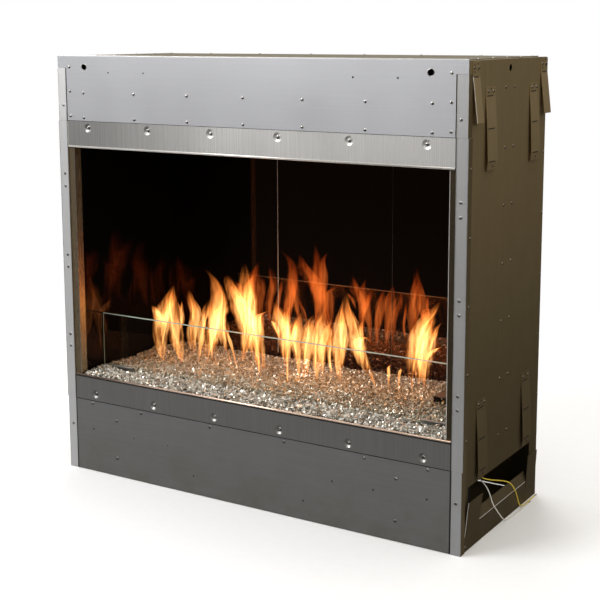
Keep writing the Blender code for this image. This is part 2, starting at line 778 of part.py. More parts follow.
def add_windows(shape, low, high, radius):
    """Three openings at equal angles round the mixing tube's axis."""
    for i in range(3):
        angle = math.radians(90 + 120 * i)
        spin = Matrix.Translation((MIXER_X, BURNER_Y, 0)) @ Matrix.Rotation(angle, 4, "Z")
        verts = bmesh.ops.create_cube(shape, size=1.0)["verts"]
        grow = Matrix.Translation((radius, 0, (low + high) / 2))
        size = Matrix.Diagonal((0.010, 0.011, high - low, 1.0))
        bmesh.ops.transform(shape, matrix=spin @ grow @ size, verts=verts)


def air_shutter():
    """The ring on the mixing tube that sets the primary air, with its locking lug."""
    centre = Vector((MIXER_X, BURNER_Y, 0))
    inner, outer = MIXER_RADIUS + 0.0006, MIXER_RADIUS + 0.0018
    low, high = SHUTTER_Z
    shape = bmesh.new()
    add_turned(shape, [(0, low), (outer, low), (outer, high), (0, high)], (0, 0, 0), (0, 0, 1), 24)
    made = link("air_shutter", shape, "stainless")
    made.location = centre
    lug = bmesh.new()
    add_box(lug, (outer - 0.0008, -0.004, low + 0.003), (outer + 0.009, 0.004, low + 0.0045))
    lug_helper = link("air_shutter_lug", lug)
    lug_helper.location = centre
    boolean(made, "UNION", lug_helper)
    bore = bmesh.new()
    add_turned(
        bore, [(0, low - 0.01), (inner, low - 0.01), (inner, high + 0.01), (0, high + 0.01)],
        centre, (0, 0, 1), 24,
    )
    boolean(made, "DIFFERENCE", link("air_shutter_bore", bore))
    windows = bmesh.new()
    add_windows(windows, AIR_WINDOW_Z[0] + 0.001, AIR_WINDOW_Z[1] - 0.001, outer)
    boolean(made, "DIFFERENCE", link("air_shutter_windows", windows))
    smooth(made, 40)


def bed_height(x, y):
    """The gently uneven top of the crushed glass."""
    wave = math.sin(21 * x + 17 * y) + math.sin(37 * x - 29 * y + 1.3)
    return BED_TOP + BED_RIPPLE * (wave + 0.8 * math.sin(58 * x + 43 * y + 0.4)) / 1.6


def bed(name, low_y, high_y, columns, rows):
    """A bed of crushed glass: an uneven slab over the tray's rim, and a block inside it."""
    shape = bmesh.new()
    under = TRAY_Z[1] + REST
    grid = []
    for i in range(columns + 1):
        x = -BED_HALF + 2 * BED_HALF * i / columns
        ys = [low_y + (high_y - low_y) * j / rows for j in range(rows + 1)]
        grid.append([shape.verts.new((x, y, bed_height(x, y))) for y in ys])
    for i in range(columns):
        for j in range(rows):
            shape.faces.new((grid[i][j], grid[i + 1][j], grid[i + 1][j + 1], grid[i][j + 1]))
    rim = [column[0] for column in grid]
    rim += grid[-1][1:]
    rim += [column[-1] for column in reversed(grid[:-1])]
    rim += list(reversed(grid[0][1:-1]))
    base = [shape.verts.new((vert.co.x, vert.co.y, under)) for vert in rim]
    for i in range(len(rim)):
        j = (i + 1) % len(rim)
        shape.faces.new((rim[i], base[i], base[j], rim[j]))
    shape.faces.new(base)
    bmesh.ops.recalc_face_normals(shape, faces=shape.faces)
    made = link(name, shape, "crushed_glass")

    block = bmesh.new()
    wall = CASING + REST
    half = TRAY_HALF - wall
    start = max(low_y, TRAY_Y[0] + wall)
    end = min(high_y, TRAY_Y[1] - wall)
    add_box(block, (-half, start, TRAY_Z[0] + wall), (half, end, under + 0.004))
    boolean(made, "UNION", link(name + "_block", block))

    cuts = bmesh.new()
    reach = CLIP_LENGTH / 2 + 0.001
    for s in (-1, 1):
        add_box(
            cuts, (s * CLIP_X - reach, GUARD_Y[0] - CLIP_ROOM, 0.15),
            (s * CLIP_X + reach, GUARD_Y[1] + CLIP_ROOM, 0.25),
        )
    boolean(made, "DIFFERENCE", link(name + "_clip_room", cuts))
    return made


def glass_beds():
    bed("media_front", BED_Y[0], GUARD_Y[0] - REST, 30, 3)
    rear = bed("media_rear", GUARD_Y[1] + REST, BED_Y[1], 30, 9)
    trench = bmesh.new()
    wide = MIXER_RADIUS + 0.0005
    add_box(
        trench, (-BURNER_HALF - 0.002, BURNER_Y - wide, 0.15),
        (BURNER_HALF + 0.002, BURNER_Y + wide, BURNER_Z + BURNER_RADIUS + 0.001),
    )
    boolean(rear, "DIFFERENCE", link("burner_room", trench))
    well = bmesh.new()
    half, front = PILOT_WELL
    add_box(well, (PILOT_X - half, front, 0.15), (PILOT_X + half, BURNER_Y - wide + 0.001, 0.25))
    boolean(rear, "DIFFERENCE", link("pilot_room", well))


def wind_guard():
    """The glass pane that lifts out of its two folded clips."""
    pane("wind_guard_glass", "clear_glass",
         (-GUARD_HALF, GUARD_Y[0], GUARD_Z[0]), (GUARD_HALF, GUARD_Y[1], GUARD_Z[1]))
    front, back = GUARD_Y[0] - GAP, GUARD_Y[1] + GAP
    ledge = GUARD_Z[0] - GAP
    foot = TRAY_Z[0] + 2 * CASING + GAP
    upright = [(back + 0.0008, foot), (front, foot), (front, CLIP_TOP), (front - CLIP_FLANGE, CLIP_TOP)]
    keeper = [(front - 0.0006, ledge), (back, ledge), (back, CLIP_TOP - 0.003)]
    for hand, s in (("left", -1), ("right", 1)):
        start = s * CLIP_X - CLIP_LENGTH / 2
        clip = sheet(f"guard_clip_{hand}", "grey", "X", upright, start, start + CLIP_LENGTH,
                     side=1, bend=0.0008)
        rest = bmesh.new()
        add_sheet(rest, "X", keeper, start + 0.004, start + CLIP_LENGTH - 0.004,
                  side=-1, bend=0.0008)
        boolean(clip, "UNION", link(f"guard_clip_{hand}_keeper", rest))


def pilot():
    """The pilot: a folded hood on one leg, the pilot burner, and the spark electrode."""
    foot = TRAY_Z[0] + CASING + REST
    brim, top = HOOD_Z
    hood = [
        (PILOT_X - HOOD_HALF, foot),
        (PILOT_X - HOOD_HALF, top),
        (PILOT_X + HOOD_HALF, top),
        (PILOT_X + HOOD_HALF, brim),
    ]
    sheet("pilot_hood", "dark_sheet", "Y", hood, *HOOD_Y, thickness=FACING, side=-1)
    shape = bmesh.new()
    jet = [(0, PILOT_LOW), (0.0045, PILOT_LOW), (0.0045, 0.214), (0.0058, 0.216),
           (0.0058, 0.226), (0.0030, 0.230), (0, 0.230)]
    add_turned(shape, jet, (PILOT_X, PILOT_Y, 0), (0, 0, 1), 12)
    smooth(link("pilot_burner", shape, "brass"))
    shape = bmesh.new()
    rod = [(0, PILOT_LOW), (0.0030, PILOT_LOW), (0.0030, 0.218), (0.0010, 0.221),
           (0.0010, 0.234), (0, 0.234)]
    add_turned(shape, rod, (PILOT_X, ELECTRODE_Y, 0), (0, 0, 1), 12)
    smooth(link("igniter_electrode", shape, "ceramic"))


def gas_valve():
    """The cast gas valve with its regulator tower, ports and mounting foot."""
    shape = bmesh.new()
    add_box(shape, VALVE_LOW, VALVE_HIGH, bevel=0.004, segments=2)
    made = link("gas_valve", shape, "aluminium")
    added = bmesh.new()
    add_cylinder(added, (-0.095, VALVE_INLET_Y, VALVE_Z), (1, 0, 0), 0.012, 0.022, 6)
    add_cylinder(added, PILOT_OUTLET - Vector((0.012, 0, 0)), (1, 0, 0), 0.006, 0.012, 6)
    add_cylinder(added, (MIXER_X, -0.068, VALVE_Z), (0, 1, 0), 0.011, 0.016, 6)
    add_cylinder(added, (KNOB_X, -0.124, VALVE_Z), (0, -1, 0), 0.009, 0.008, 16)
    add_cylinder(added, (KNOB_X, -0.130, VALVE_Z), (0, -1, 0), 0.0028, 0.0125, 10)
    add_cylinder(added, (0.008, -0.096, 0.078), (0, 0, 1), 0.016, 0.022, 18, 0.013)
    boolean(made, "UNION", link("gas_valve_ports", added))
    foot = bmesh.new()
    line = [(-0.110, CASING + GAP), (-0.084, CASING + GAP), (-0.084, 0.034)]
    add_sheet(foot, "X", line, -0.060, 0.018, thickness=BRACKET, side=1)
    boolean(made, "UNION", link("gas_valve_foot", foot))


def flame_height_knob():
    """The fluted knob that sets the flame height, turned about its own spindle."""
    shape = bmesh.new()
    body = [(0, 0), (0.0125, 0), (0.0140, 0.002), (0.0128, 0.013), (0.0110, KNOB_LENGTH),
            (0, KNOB_LENGTH)]
    add_turned(shape, body, (0, 0, 0), (0, -1, 0), 24)
    made = link("flame_height_knob", shape, "black_plastic")
    made.location = (KNOB_X, KNOB_Y, VALVE_Z)
    rib = bmesh.new()
    add_box(rib, (-0.002, -0.0180, -0.0115), (0.002, -0.0130, 0.0115), bevel=0.0008)
    helper = link("knob_rib", rib)
    helper.location = made.location
    boolean(made, "UNION", helper)
    cuts = bmesh.new()
    for i in range(12):
        angle = 2 * math.pi * (i + 0.5) / 12
        base = (0.0148 * math.cos(angle), 0.001, 0.0148 * math.sin(angle))
        add_cylinder(cuts, base, (0, -1, 0), 0.0019, 0.02, 8)
    helper = link("knob_flutes", cuts)
    helper.location = made.location
    boolean(made, "DIFFERENCE", helper)
    bore = bmesh.new()
    add_cylinder(bore, (0, 0.001, 0), (0, -1, 0), 0.0033, 0.0110, 10)
    helper = link("knob_bore", bore)
    helper.location = made.location
    boolean(made, "DIFFERENCE", helper)
    smooth(made)


def shutoff():
    """The quarter-turn shut-off valve, its lever, and the inlet nipple at the left."""
    x, y, z = SHUTOFF
    shape = bmesh.new()
    body = [(0, -0.026), (0.0145, -0.026), (0.0145, -0.014), (0.0165, -0.010), (0.0165, 0.010),
            (0.0145, 0.014), (0.0145, 0.026), (0, 0.026)]
    add_turned(shape, body, (x, y, z), (1, 0, 0), 12)
    made = link("shutoff_valve", shape, "brass")
    added = bmesh.new()
    add_cylinder(added, (x, y, z + 0.010), (0, 0, 1), 0.007, 0.012, 12)
    stem = [(0, 0.020), (0.0035, 0.020), (0.0035, 0.0252), (0.0062, 0.0252), (0.0062, 0.0287),
            (0.0035, 0.0287), (0.0035, 0.030), (0, 0.030)]
    add_turned(added, stem, (x, y, z), (0, 0, 1), 12)
    foot = [(y - 0.020, CASING + GAP), (y, CASING + GAP), (y, z - 0.010)]
    add_sheet(added, "X", foot, x - 0.010, x + 0.010, thickness=BRACKET, side=1)
    boolean(made, "UNION", link("shutoff_fittings", added))
    smooth(made)

    nipple = bmesh.new()
    pipe = [(0, -0.0275), (NIPPLE_RADIUS, -0.0275), (NIPPLE_RADIUS, -0.082), (0.0098, -0.085),
            (NIPPLE_BORE, -0.085), (NIPPLE_BORE, -0.050), (0, -0.050)]
    add_turned(nipple, pipe, (x + 0.0007, y, z), (1, 0, 0), 16)
    smooth(link("gas_inlet_nipple", nipple, "dark_sheet"))

    lever = bmesh.new()
    bar = [(-0.010, 0.0), (0.014, 0.0), (0.022, 0.006), (0.068, 0.006)]
    add_sheet(lever, "Y", bar, -LEVER_HALF, LEVER_HALF, thickness=0.0022, side=1)
    handle = link("shutoff_lever", lever, "red_grip")
    handle.location = (x, y, z + LEVER_LIFT)
    hole = bmesh.new()
    add_cylinder(hole, (0, 0, -0.002), (0, 0, 1), 0.0042, 0.008, 12)
    helper = link("shutoff_lever_hole", hole)
    helper.location = handle.location
    boolean(handle, "DIFFERENCE", helper)


def gas_tubes():
    """The bent aluminium tubes: supply to the valve, valve to the burner, and pilot."""
    x, y, z = SHUTOFF
    tube("gas_feed_tube", "aluminium",
         [(x + 0.0265, y, z), (x + 0.045, y, z), (-0.24, -0.060, 0.050), (-0.17, -0.062, 0.050),
          (-0.138, VALVE_INLET_Y, VALVE_Z), (-0.118, VALVE_INLET_Y, VALVE_Z),
          (-0.0956, VALVE_INLET_Y, VALVE_Z)],
         FEED_RADIUS, 0.016)
    tube("orifice_tube", "aluminium",
         [(MIXER_X, -0.0516, VALVE_Z), (MIXER_X, -0.035, VALVE_Z), (MIXER_X, 0.030, VALVE_Z - 0.001),
          (MIXER_X, 0.0560, VALVE_Z + 0.006), (MIXER_X, BURNER_Y - 0.0006, VALVE_Z + 0.024),
          (MIXER_X, BURNER_Y, VALVE_Z + 0.037), (MIXER_X, BURNER_Y, MIXER_BOTTOM - 0.004)],
         ORIFICE_RADIUS, 0.010)
    start = PILOT_OUTLET + Vector((0.0006, 0, 0))
    tube("pilot_tube", "aluminium",
         [start, start + Vector((0.0124, 0, 0)), start + Vector((0.0244, 0, 0)),
          (0.110, -0.055, 0.070), (0.190, 0.015, 0.085), (0.280, 0.036, 0.095),
          (0.335, 0.032, 0.108), (PILOT_X, PILOT_Y, 0.128), (PILOT_X, PILOT_Y, PILOT_LOW - GAP)],
         PILOT_TUBE_RADIUS, 0.012)


def ignition():
    """The ignition module on the base pan, with two lead bushings and a cable to the pilot."""
    shape = bmesh.new()
    add_box(shape, MODULE_LOW, MODULE_HIGH, bevel=0.003, segments=2)
    module = link("control_module", shape, "black_plastic")
    added = bmesh.new()
    add_box(added, (0.328, -0.097, 0.094), (0.430, -0.003, 0.0965))
    for y in (WHITE_EXIT_Y, YELLOW_EXIT_Y):
        start = (MODULE_HIGH.x - 0.001, y, LEAD_EXIT_Z)
        add_cylinder(added, start, (1, 0, 0), 0.0045, LEAD_EXIT_X - GAP - start[0], 12, 0.0032)
    add_cylinder(added, (0.380, -0.030, 0.127), (0, 0, 1), 0.0045, 0.004, 12)
    boolean(module, "UNION", link("module_fittings", added))
    tube("igniter_cable", "black_plastic",
         [(0.380, -0.030, 0.1314), (0.380, -0.0285, 0.138), (0.376, -0.010, 0.1425),
          (0.362, 0.020, 0.140), (0.3515, 0.036, 0.1395), (PILOT_X, ELECTRODE_Y, 0.1430),
          (PILOT_X, ELECTRODE_Y, PILOT_LOW - GAP)], IGNITER_RADIUS, 0.007)


WHITE_ROUTE = [
    (LEAD_EXIT_X, WHITE_EXIT_Y, LEAD_EXIT_Z),
    (0.4420, -0.0500, 0.1119),
    (0.4570, -0.0500, 0.1090),
    (0.4700, -0.0500, 0.1025),
    (0.4810, -0.0500, 0.0920),
    (0.4880, -0.0505, 0.0810),
    (0.4925, -0.0505, 0.0700),
    (0.4955, -0.0490, 0.0595),
    (0.4968, -0.0390, 0.0470),
    (0.4970, -0.0180, 0.0270),
    (0.4980, 0.0020, 0.0090),
    (0.4995, 0.0160, 0.0026),
    (0.5010, 0.0330, 0.0016),
    (0.5025, 0.0600, 0.0016),
    (0.5030, 0.0900, 0.0016),
    (0.5025, 0.1200, 0.0016),
    (0.5020, 0.1430, 0.0016),
]
YELLOW_ROUTE = [
    (LEAD_EXIT_X, YELLOW_EXIT_Y, LEAD_EXIT_Z),
    (0.4420, -0.0380, 0.1118),
    (0.4570, -0.0380, 0.1080),
    (0.4680, -0.0320, 0.1010),
    (0.4755, -0.0140, 0.0935),
    (0.4810, 0.0080, 0.0865),
    (0.4860, 0.0290, 0.0795),
    (0.4905, 0.0440, 0.0730),
    (0.4940, 0.0550, 0.0640),
    (0.4958, 0.0640, 0.0530),
    (0.4965, 0.0740, 0.0400),
    (0.4968, 0.0830, 0.0240),
    (0.4970, 0.0930, 0.0095),
    (0.4975, 0.1040, 0.0030),
    (0.4978, 0.1180, 0.0016),
    (0.4980, 0.1500, 0.0016),
    (0.4980, 0.1880, 0.0016),
]


def leads():
    """The two supply leads, out over the sill of the right access opening to the floor."""
    tube("white_lead", "white_wire", WHITE_ROUTE, LEAD_RADIUS, 0.007)
    tube("yellow_lead", "yellow_wire", YELLOW_ROUTE, LEAD_RADIUS, 0.007)


def build():
    clear_scene()
    base_pan()
    rear_panel()
    top_panel()
    upper_front_panel()
    lower_front_panel()
    finishing_strips()
    for hand, s in (("left", -1), ("right", 1)):
        side_panel(f"{hand}_side_panel", s)
        corner_pieces(hand, s)
        jamb(f"{hand}_jamb", s)
        standoffs(hand, s)
    firebox_shell()
    firebox_glass()
    burner_tray()
    burner_tube()
    air_shutter()
    glass_beds()
    wind_guard()
    pilot()
    gas_valve()
    flame_height_knob()
    shutoff()
    gas_tubes()
    ignition()
    leads()


build()
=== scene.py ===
# %% [markdown]
# # A built-in gas fireplace, dressed
#
# The steel casing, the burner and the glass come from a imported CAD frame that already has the
# right sizes. This lesson gives that frame its looks: rolled sheet steel, black mirror glass, a
# bed of crushed glass, screws, flames and two supply leads. All lengths are metres. X runs to
# the right of the fireplace, Y into the wall behind it, and Z up.

import json

import bpy
import numpy as np
from mathutils import Matrix


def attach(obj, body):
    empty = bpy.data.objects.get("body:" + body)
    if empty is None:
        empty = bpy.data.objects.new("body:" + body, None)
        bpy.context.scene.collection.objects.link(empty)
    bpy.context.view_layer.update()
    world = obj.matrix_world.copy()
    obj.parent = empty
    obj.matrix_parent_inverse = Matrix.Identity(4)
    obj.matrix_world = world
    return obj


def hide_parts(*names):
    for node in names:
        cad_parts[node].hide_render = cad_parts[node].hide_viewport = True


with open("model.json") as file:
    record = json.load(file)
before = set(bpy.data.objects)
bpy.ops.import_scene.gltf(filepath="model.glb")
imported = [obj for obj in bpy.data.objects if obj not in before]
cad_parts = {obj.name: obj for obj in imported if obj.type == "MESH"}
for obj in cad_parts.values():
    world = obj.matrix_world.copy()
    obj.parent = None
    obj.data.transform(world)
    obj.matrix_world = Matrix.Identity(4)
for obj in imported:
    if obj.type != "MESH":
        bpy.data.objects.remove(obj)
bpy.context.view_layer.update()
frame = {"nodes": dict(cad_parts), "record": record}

# %% [markdown]
# ## Camera
#
# The photograph looks down at the casing from the front right. Its lens and place were solved
# from the casing's corners. Here the lens is shifted less than that, so that pictures taken from
# other sides aren't cut. Blender's camera looks along its own -Z, so the camera's matrix is built
# from three directions: right, up, and the opposite of the line of sight.

# %% Camera
SCENE = bpy.context.scene
YAW, PITCH, ROLL = np.radians([31.8308, 9.2151, -0.2006])
CAMERA_AT = (1.4282, -2.2805, 0.9953)
FOCAL_PIXELS = 1249.4
IMAGE_SIDE = 600
LENS_SHIFT = -0.11

sight = np.array([-np.sin(YAW) * np.cos(PITCH), np.cos(YAW) * np.cos(PITCH), -np.sin(PITCH)])
level = np.cross(sight, (0, 0, 1))
level /= np.linalg.norm(level)
upward = np.cross(level, sight)
right = np.cos(ROLL) * level + np.sin(ROLL) * upward
up = -np.sin(ROLL) * level + np.cos(ROLL) * upward

camera = bpy.data.objects.new("camera", bpy.data.cameras.new("camera"))
SCENE.collection.objects.link(camera)
camera.data.sensor_width = 36.0
camera.data.lens = FOCAL_PIXELS * camera.data.sensor_width / IMAGE_SIDE
camera.data.shift_y = LENS_SHIFT


def axes_matrix(right, up, back, at):
    """The matrix of an object that has those three axes and stands at that place."""
    return Matrix([[right[i], up[i], back[i], at[i]] for i in range(3)] + [[0, 0, 0, 1]])


camera.matrix_world = axes_matrix(right, up, -sight, CAMERA_AT)
SCENE.camera = camera
SCENE.view_settings.view_transform = "Standard"
print("lens", round(camera.data.lens, 2), "mm")

# %% [markdown]
# ## Helpers for shapes
#
# Every shape here is worked out as a whole array of points. `mesh_of` puts such an array into a
# mesh, and `piece` makes the object, gives it a finish and lets it ride on a body of the frame.

# %% Arrays into meshes
def mesh_of(name, points, faces, smooth=False):
    """A mesh of n points (n, 3) and m faces (m, k), each row k corner numbers."""
    faces = np.ascontiguousarray(faces, np.int32)
    mesh = bpy.data.meshes.new(name)
    mesh.vertices.add(len(points))
    mesh.vertices.foreach_set("co", np.ascontiguousarray(points, np.float32).ravel())
    mesh.loops.add(faces.size)
    mesh.loops.foreach_set("vertex_index", faces.ravel())
    mesh.polygons.add(len(faces))
    starts = np.arange(0, faces.size, faces.shape[1], dtype=np.int32)
    mesh.polygons.foreach_set("loop_start", starts)
    mesh.polygons.foreach_set("use_smooth", np.full(len(faces), smooth))
    mesh.update(calc_edges=True)
    return mesh


def piece(name, points, faces, finish, body="appliance", slot=None, smooth=False):
    """An object made of those points and faces, finished, and riding on a body."""
    made = bpy.data.objects.new(name, mesh_of(name, points, faces, smooth))
    SCENE.collection.objects.link(made)
    made.data.materials.append(finish)
    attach(made, body)
    triangles = len(faces) * (np.shape(faces)[1] - 2)
    print(name, triangles, "triangles")
    return made


def grid_faces(rows, columns, round_rows=False, round_columns=False):
    """Quads of a grid of points, row after row. A round direction joins its end to its start."""
    i = np.arange(rows if round_rows else rows - 1)[:, None]
    j = np.arange(columns if round_columns else columns - 1)[None, :]
    i2, j2 = (i + 1) % rows, (j + 1) % columns
    corners = [i * columns + j, i * columns + j2, i2 * columns + j2, i2 * columns + j]
    return np.stack(corners, axis=-1).reshape(-1, 4)


# %% [markdown]
# ## Helpers for finishes
#
# A finish is a node tree. Most of this casing is the same mill-rolled steel in several tones, so
# the rolling marks live in one node group with named inputs, and each material places that group
# with its own values. `wire` keeps the node code short: it links an output to an input, or types
# a plain value in.

# %% Node helpers
X, Y, Z = range(3)


def add_node(tree, kind, **settings):
    node = tree.nodes.new(kind)
    for key, value in settings.items():
        setattr(node, key, value)
    return node


def wire(tree, value, socket):
    if isinstance(value, bpy.types.NodeSocket):
        tree.links.new(value, socket)
    else:
        socket.default_value = value


def math_node(tree, operation, a, b=0.0, clamp=False):
    """The output of one Math node, such as a + b."""
    node = add_node(tree, "ShaderNodeMath", operation=operation, use_clamp=clamp)
    wire(tree, a, node.inputs[0])
    wire(tree, b, node.inputs[1])
    return node.outputs[0]


def times(tree, a, b, clamp=False):
    return math_node(tree, "MULTIPLY", a, b, clamp)


def plus(tree, a, b, clamp=False):
    return math_node(tree, "ADD", a, b, clamp)


def minus(tree, a, b):
    return math_node(tree, "SUBTRACT", a, b)


def swing(tree, value, amount):
    """A value from 0 to 1 as amount * (value - 0.5), which swings both ways."""
    return times(tree, minus(tree, value, 0.5), amount)


def mix_colours(tree, factor, a, b):
    """The colour a turned towards the colour b by a factor."""
    node = add_node(tree, "ShaderNodeMix", data_type="RGBA")
    wire(tree, factor, node.inputs[0])
    wire(tree, a, node.inputs[6])
    wire(tree, b, node.inputs[7])
    return node.outputs[2]


def remap(tree, value, low, high, to_low=0.0, to_high=1.0):
    """A value carried smoothly from one range into another."""
    node = add_node(tree, "ShaderNodeMapRange", interpolation_type="SMOOTHSTEP")
    for number, given in enumerate((value, low, high, to_low, to_high)):
        wire(tree, given, node.inputs[number])
    return node.outputs[0]


def noise(tree, where, scale, detail=2.0, roughness=0.5):
    """Fractal noise from 0 to 1 at the points in `where`."""
    node = add_node(tree, "ShaderNodeTexNoise")
    wire(tree, where, node.inputs["Vector"])
    node.inputs["Scale"].default_value = scale
    node.inputs["Detail"].default_value = detail
    node.inputs["Roughness"].default_value = roughness
    return node.outputs[0]


def stretched(tree, where, factors):
    """The points in `where` times a factor on each axis, which stretches a pattern."""
    node = add_node(tree, "ShaderNodeVectorMath", operation="MULTIPLY")
    wire(tree, where, node.inputs[0])
    wire(tree, factors, node.inputs[1])
    return node.outputs[0]


def object_points(tree):
    return add_node(tree, "ShaderNodeTexCoord").outputs["Object"]


def component(tree, vector, axis):
    """One of the three numbers of a vector: 0 is x, 1 is y and 2 is z."""
    node = add_node(tree, "ShaderNodeSeparateXYZ")
    wire(tree, vector, node.inputs[0])
    return node.outputs[axis]


def end_with(tree, kind, factor, first, second, output="Material Output"):
    """Two shaders, mixed by a factor or added, as the last word of a material or a world."""
    both = add_node(tree, kind)
    given = [first, second] if factor is None else [factor, first, second]
    for number, value in enumerate(given):
        wire(tree, value, both.inputs[number])
    wire(tree, both.outputs[0], tree.nodes[output].inputs["Surface"])


def dress(tree, shader, colour, roughness, normal):
    """The three inputs of a Principled shader that every finish here drives."""
    wire(tree, colour, shader.inputs["Base Color"])
    wire(tree, roughness, shader.inputs["Roughness"])
    wire(tree, normal, shader.inputs["Normal"])


def new_group(name, inputs, outputs):
    """An empty node group and its two end nodes. Sockets are name: type, or name: (type, value)."""
    tree = bpy.data.node_groups.new(name, "ShaderNodeTree")
    for side, sockets in (("INPUT", inputs), ("OUTPUT", outputs)):
        for title, kind in sockets.items():
            kind, value = kind if isinstance(kind, tuple) else (kind, None)
            socket = tree.interface.new_socket(
                title, in_out=side, socket_type="NodeSocket" + kind
            )
            if value is not None:
                socket.default_value = value
    return tree, tree.nodes.new("NodeGroupInput"), tree.nodes.new("NodeGroupOutput")


def place_group(tree, group, **values):
    """The node group in a material, its inputs set. Spaces in an input's name are written _."""
    node = add_node(tree, "ShaderNodeGroup", node_tree=group)
    for title, value in values.items():
        wire(tree, value, node.inputs[title.replace("_", " ")])
    return node


def new_finish(name, **constants):
    """A material with one Principled shader, its constant sockets set, and its node tree."""
    material = bpy.data.materials.new(name)
    material.use_nodes = True
    shader = material.node_tree.nodes["Principled BSDF"]
    for title, value in constants.items():
        shader.inputs[title.replace("_", " ")].default_value = value
    return material, material.node_tree, shader


def bump(tree, height, strength, distance):
    """The normal of a surface with that height on it."""
    node = add_node(tree, "ShaderNodeBump")
    node.inputs["Strength"].default_value = strength
    node.inputs["Distance"].default_value = distance
    wire(tree, height, node.inputs["Height"])
    return node.outputs[0]


# %% [markdown]
# ## Rolled sheet
#
# Steel from a rolling mill is never one colour. It has fine streaks along the way it was rolled,
# soft clouds where oil or hands have been, and a grain that scatters the light. Streaks are a
# noise stretched along one axis, clouds a slow noise, and the grain a fast one. The same group
# gives the colour, the roughness and the normal, so that a dull patch is dull in all three.

# %% The rolled sheet group
def rolled_sheet_group():
    tree, given, result = new_group(
        "rolled sheet",
        {
            "Tone": "Color",
            "Shade": "Color",
            "Way": ("Vector", (300.0, 300.0, 5.0)),
            "Streaks": ("Float", 0.5),
            "Clouds": ("Float", 0.5),
            "Dullness": ("Float", 0.4),
        },
        {"Colour": "Color", "Roughness": "Float", "Normal": "Vector"},
    )
    where = object_points(tree)
    streak = noise(tree, stretched(tree, where, given.outputs["Way"]), 1.0, 4.0, 0.65)
    cloud = noise(tree, where, 6.5, 4.0, 0.55)
    smear = noise(tree, stretched(tree, where, (9.0, 9.0, 2.4)), 1.0, 3.0, 0.6)
    grain = noise(tree, where, 1500.0, 1.0, 0.5)
    streaks = swing(tree, streak, given.outputs["Streaks"])
    slow = plus(tree, times(tree, cloud, 0.6), times(tree, smear, 0.4))
    clouds = swing(tree, slow, given.outputs["Clouds"])
    factor = plus(tree, plus(tree, streaks, clouds), 0.5, clamp=True)
    colour = mix_colours(tree, factor, given.outputs["Shade"], given.outputs["Tone"])
    wire(tree, colour, result.inputs["Colour"])
    rough = plus(tree, given.outputs["Dullness"], times(tree, clouds, -0.35))
    rough = plus(tree, rough, times(tree, streaks, -0.18), clamp=True)
    wire(tree, rough, result.inputs["Roughness"])
    height = plus(tree, times(tree, grain, 0.5), streak)
    wire(tree, bump(tree, height, 0.10, 0.0004), result.inputs["Normal"])
    return tree


ROLLED = rolled_sheet_group()
print("rolled sheet group", len(ROLLED.nodes), "nodes")

# %% [markdown]
# ## Dust
#
# Dust settles low on a casing that stands on a workshop floor. The group gives one mask: strong
# near the floor, broken up by noise, and gone above a height that is an input.

# %% The dust group
def dust_group():
    tree, given, result = new_group(
        "floor dust", {"Height": ("Float", 0.12), "Amount": ("Float", 0.5)}, {"Mask": "Float"}
    )
    where = object_points(tree)
    low = remap(tree, component(tree, where, Z), given.outputs["Height"], 0.0)
    patches = remap(tree, noise(tree, where, 18.0, 5.0, 0.65), 0.35, 0.75)
    both = times(tree, low, plus(tree, patches, 0.25))
    mask = times(tree, both, given.outputs["Amount"], clamp=True)
    wire(tree, mask, result.inputs["Mask"])
    return tree


DUST = dust_group()

# %% [markdown]
# ## Steel finishes
#
# The casing is one metal in several tones: light grey above the opening, dark grey below it,
# and an olive brown on the flanks. A maker would call them mill finish, phosphated and
# aluminised. Each is the rolled sheet group with its own two tones and its own rolling way. A
# row of the table gives tone, shade, way, streaks, clouds, dullness, metal and dust, in order.
# Several rows also paint light with a fade: the casing lighter at the top, one end of a facing,
# strip and post lighter than the other, and the left jamb lit by painted firelight.

# %% Steel sheet finishes
def even(scale):
    """The same scale along all three axes, for metal that has no rolling way."""
    return (scale, scale, scale)


def painted_light_fade(tree, colour, fade):
    """A colour times a brightness that changes along an axis, which paints light and shade. fade is
    an axis, two places on it, the brightness at each.
    """
    axis, low, high, at_low, at_high = fade
    bright = remap(tree, component(tree, object_points(tree), axis), low, high, at_low, at_high)
    scale = add_node(tree, "ShaderNodeVectorMath", operation="SCALE")
    wire(tree, colour, scale.inputs[0])
    wire(tree, bright, scale.inputs["Scale"])
    return scale.outputs[0]


def steel_sheet(
    name, tone, shade, way, streaks, clouds, dullness, metal=0.75, dust=0.0, flank=0.0, fade=None
):
    """Rolled sheet. flank gives faces that look sideways the olive the flanks show in shade:
    painted shade. fade is what `painted_light_fade` takes.
    """
    material, tree, shader = new_finish(name, Metallic=metal)
    sheet = place_group(
        tree, ROLLED, Tone=(*tone, 1), Shade=(*shade, 1), Way=way, Streaks=streaks,
        Clouds=clouds, Dullness=dullness,
    )
    colour = sheet.outputs["Colour"]
    # Painted shade: faces that look sideways take the olive of the shaded flanks.
    if flank:
        facing = component(tree, add_node(tree, "ShaderNodeTexCoord").outputs["Normal"], X)
        sideways = remap(tree, math_node(tree, "ABSOLUTE", facing), 0.5, 0.8, 0.0, flank)
        colour = mix_colours(tree, sideways, colour, (*OLIVE, 1))
    if fade:
        colour = painted_light_fade(tree, colour, fade)
    if dust:
        mask = place_group(tree, DUST, Height=DUST_HEIGHT, Amount=dust).outputs["Mask"]
        colour = mix_colours(tree, mask, colour, DUST_COLOUR)
    dress(tree, shader, colour, sheet.outputs["Roughness"], sheet.outputs["Normal"])
    return material


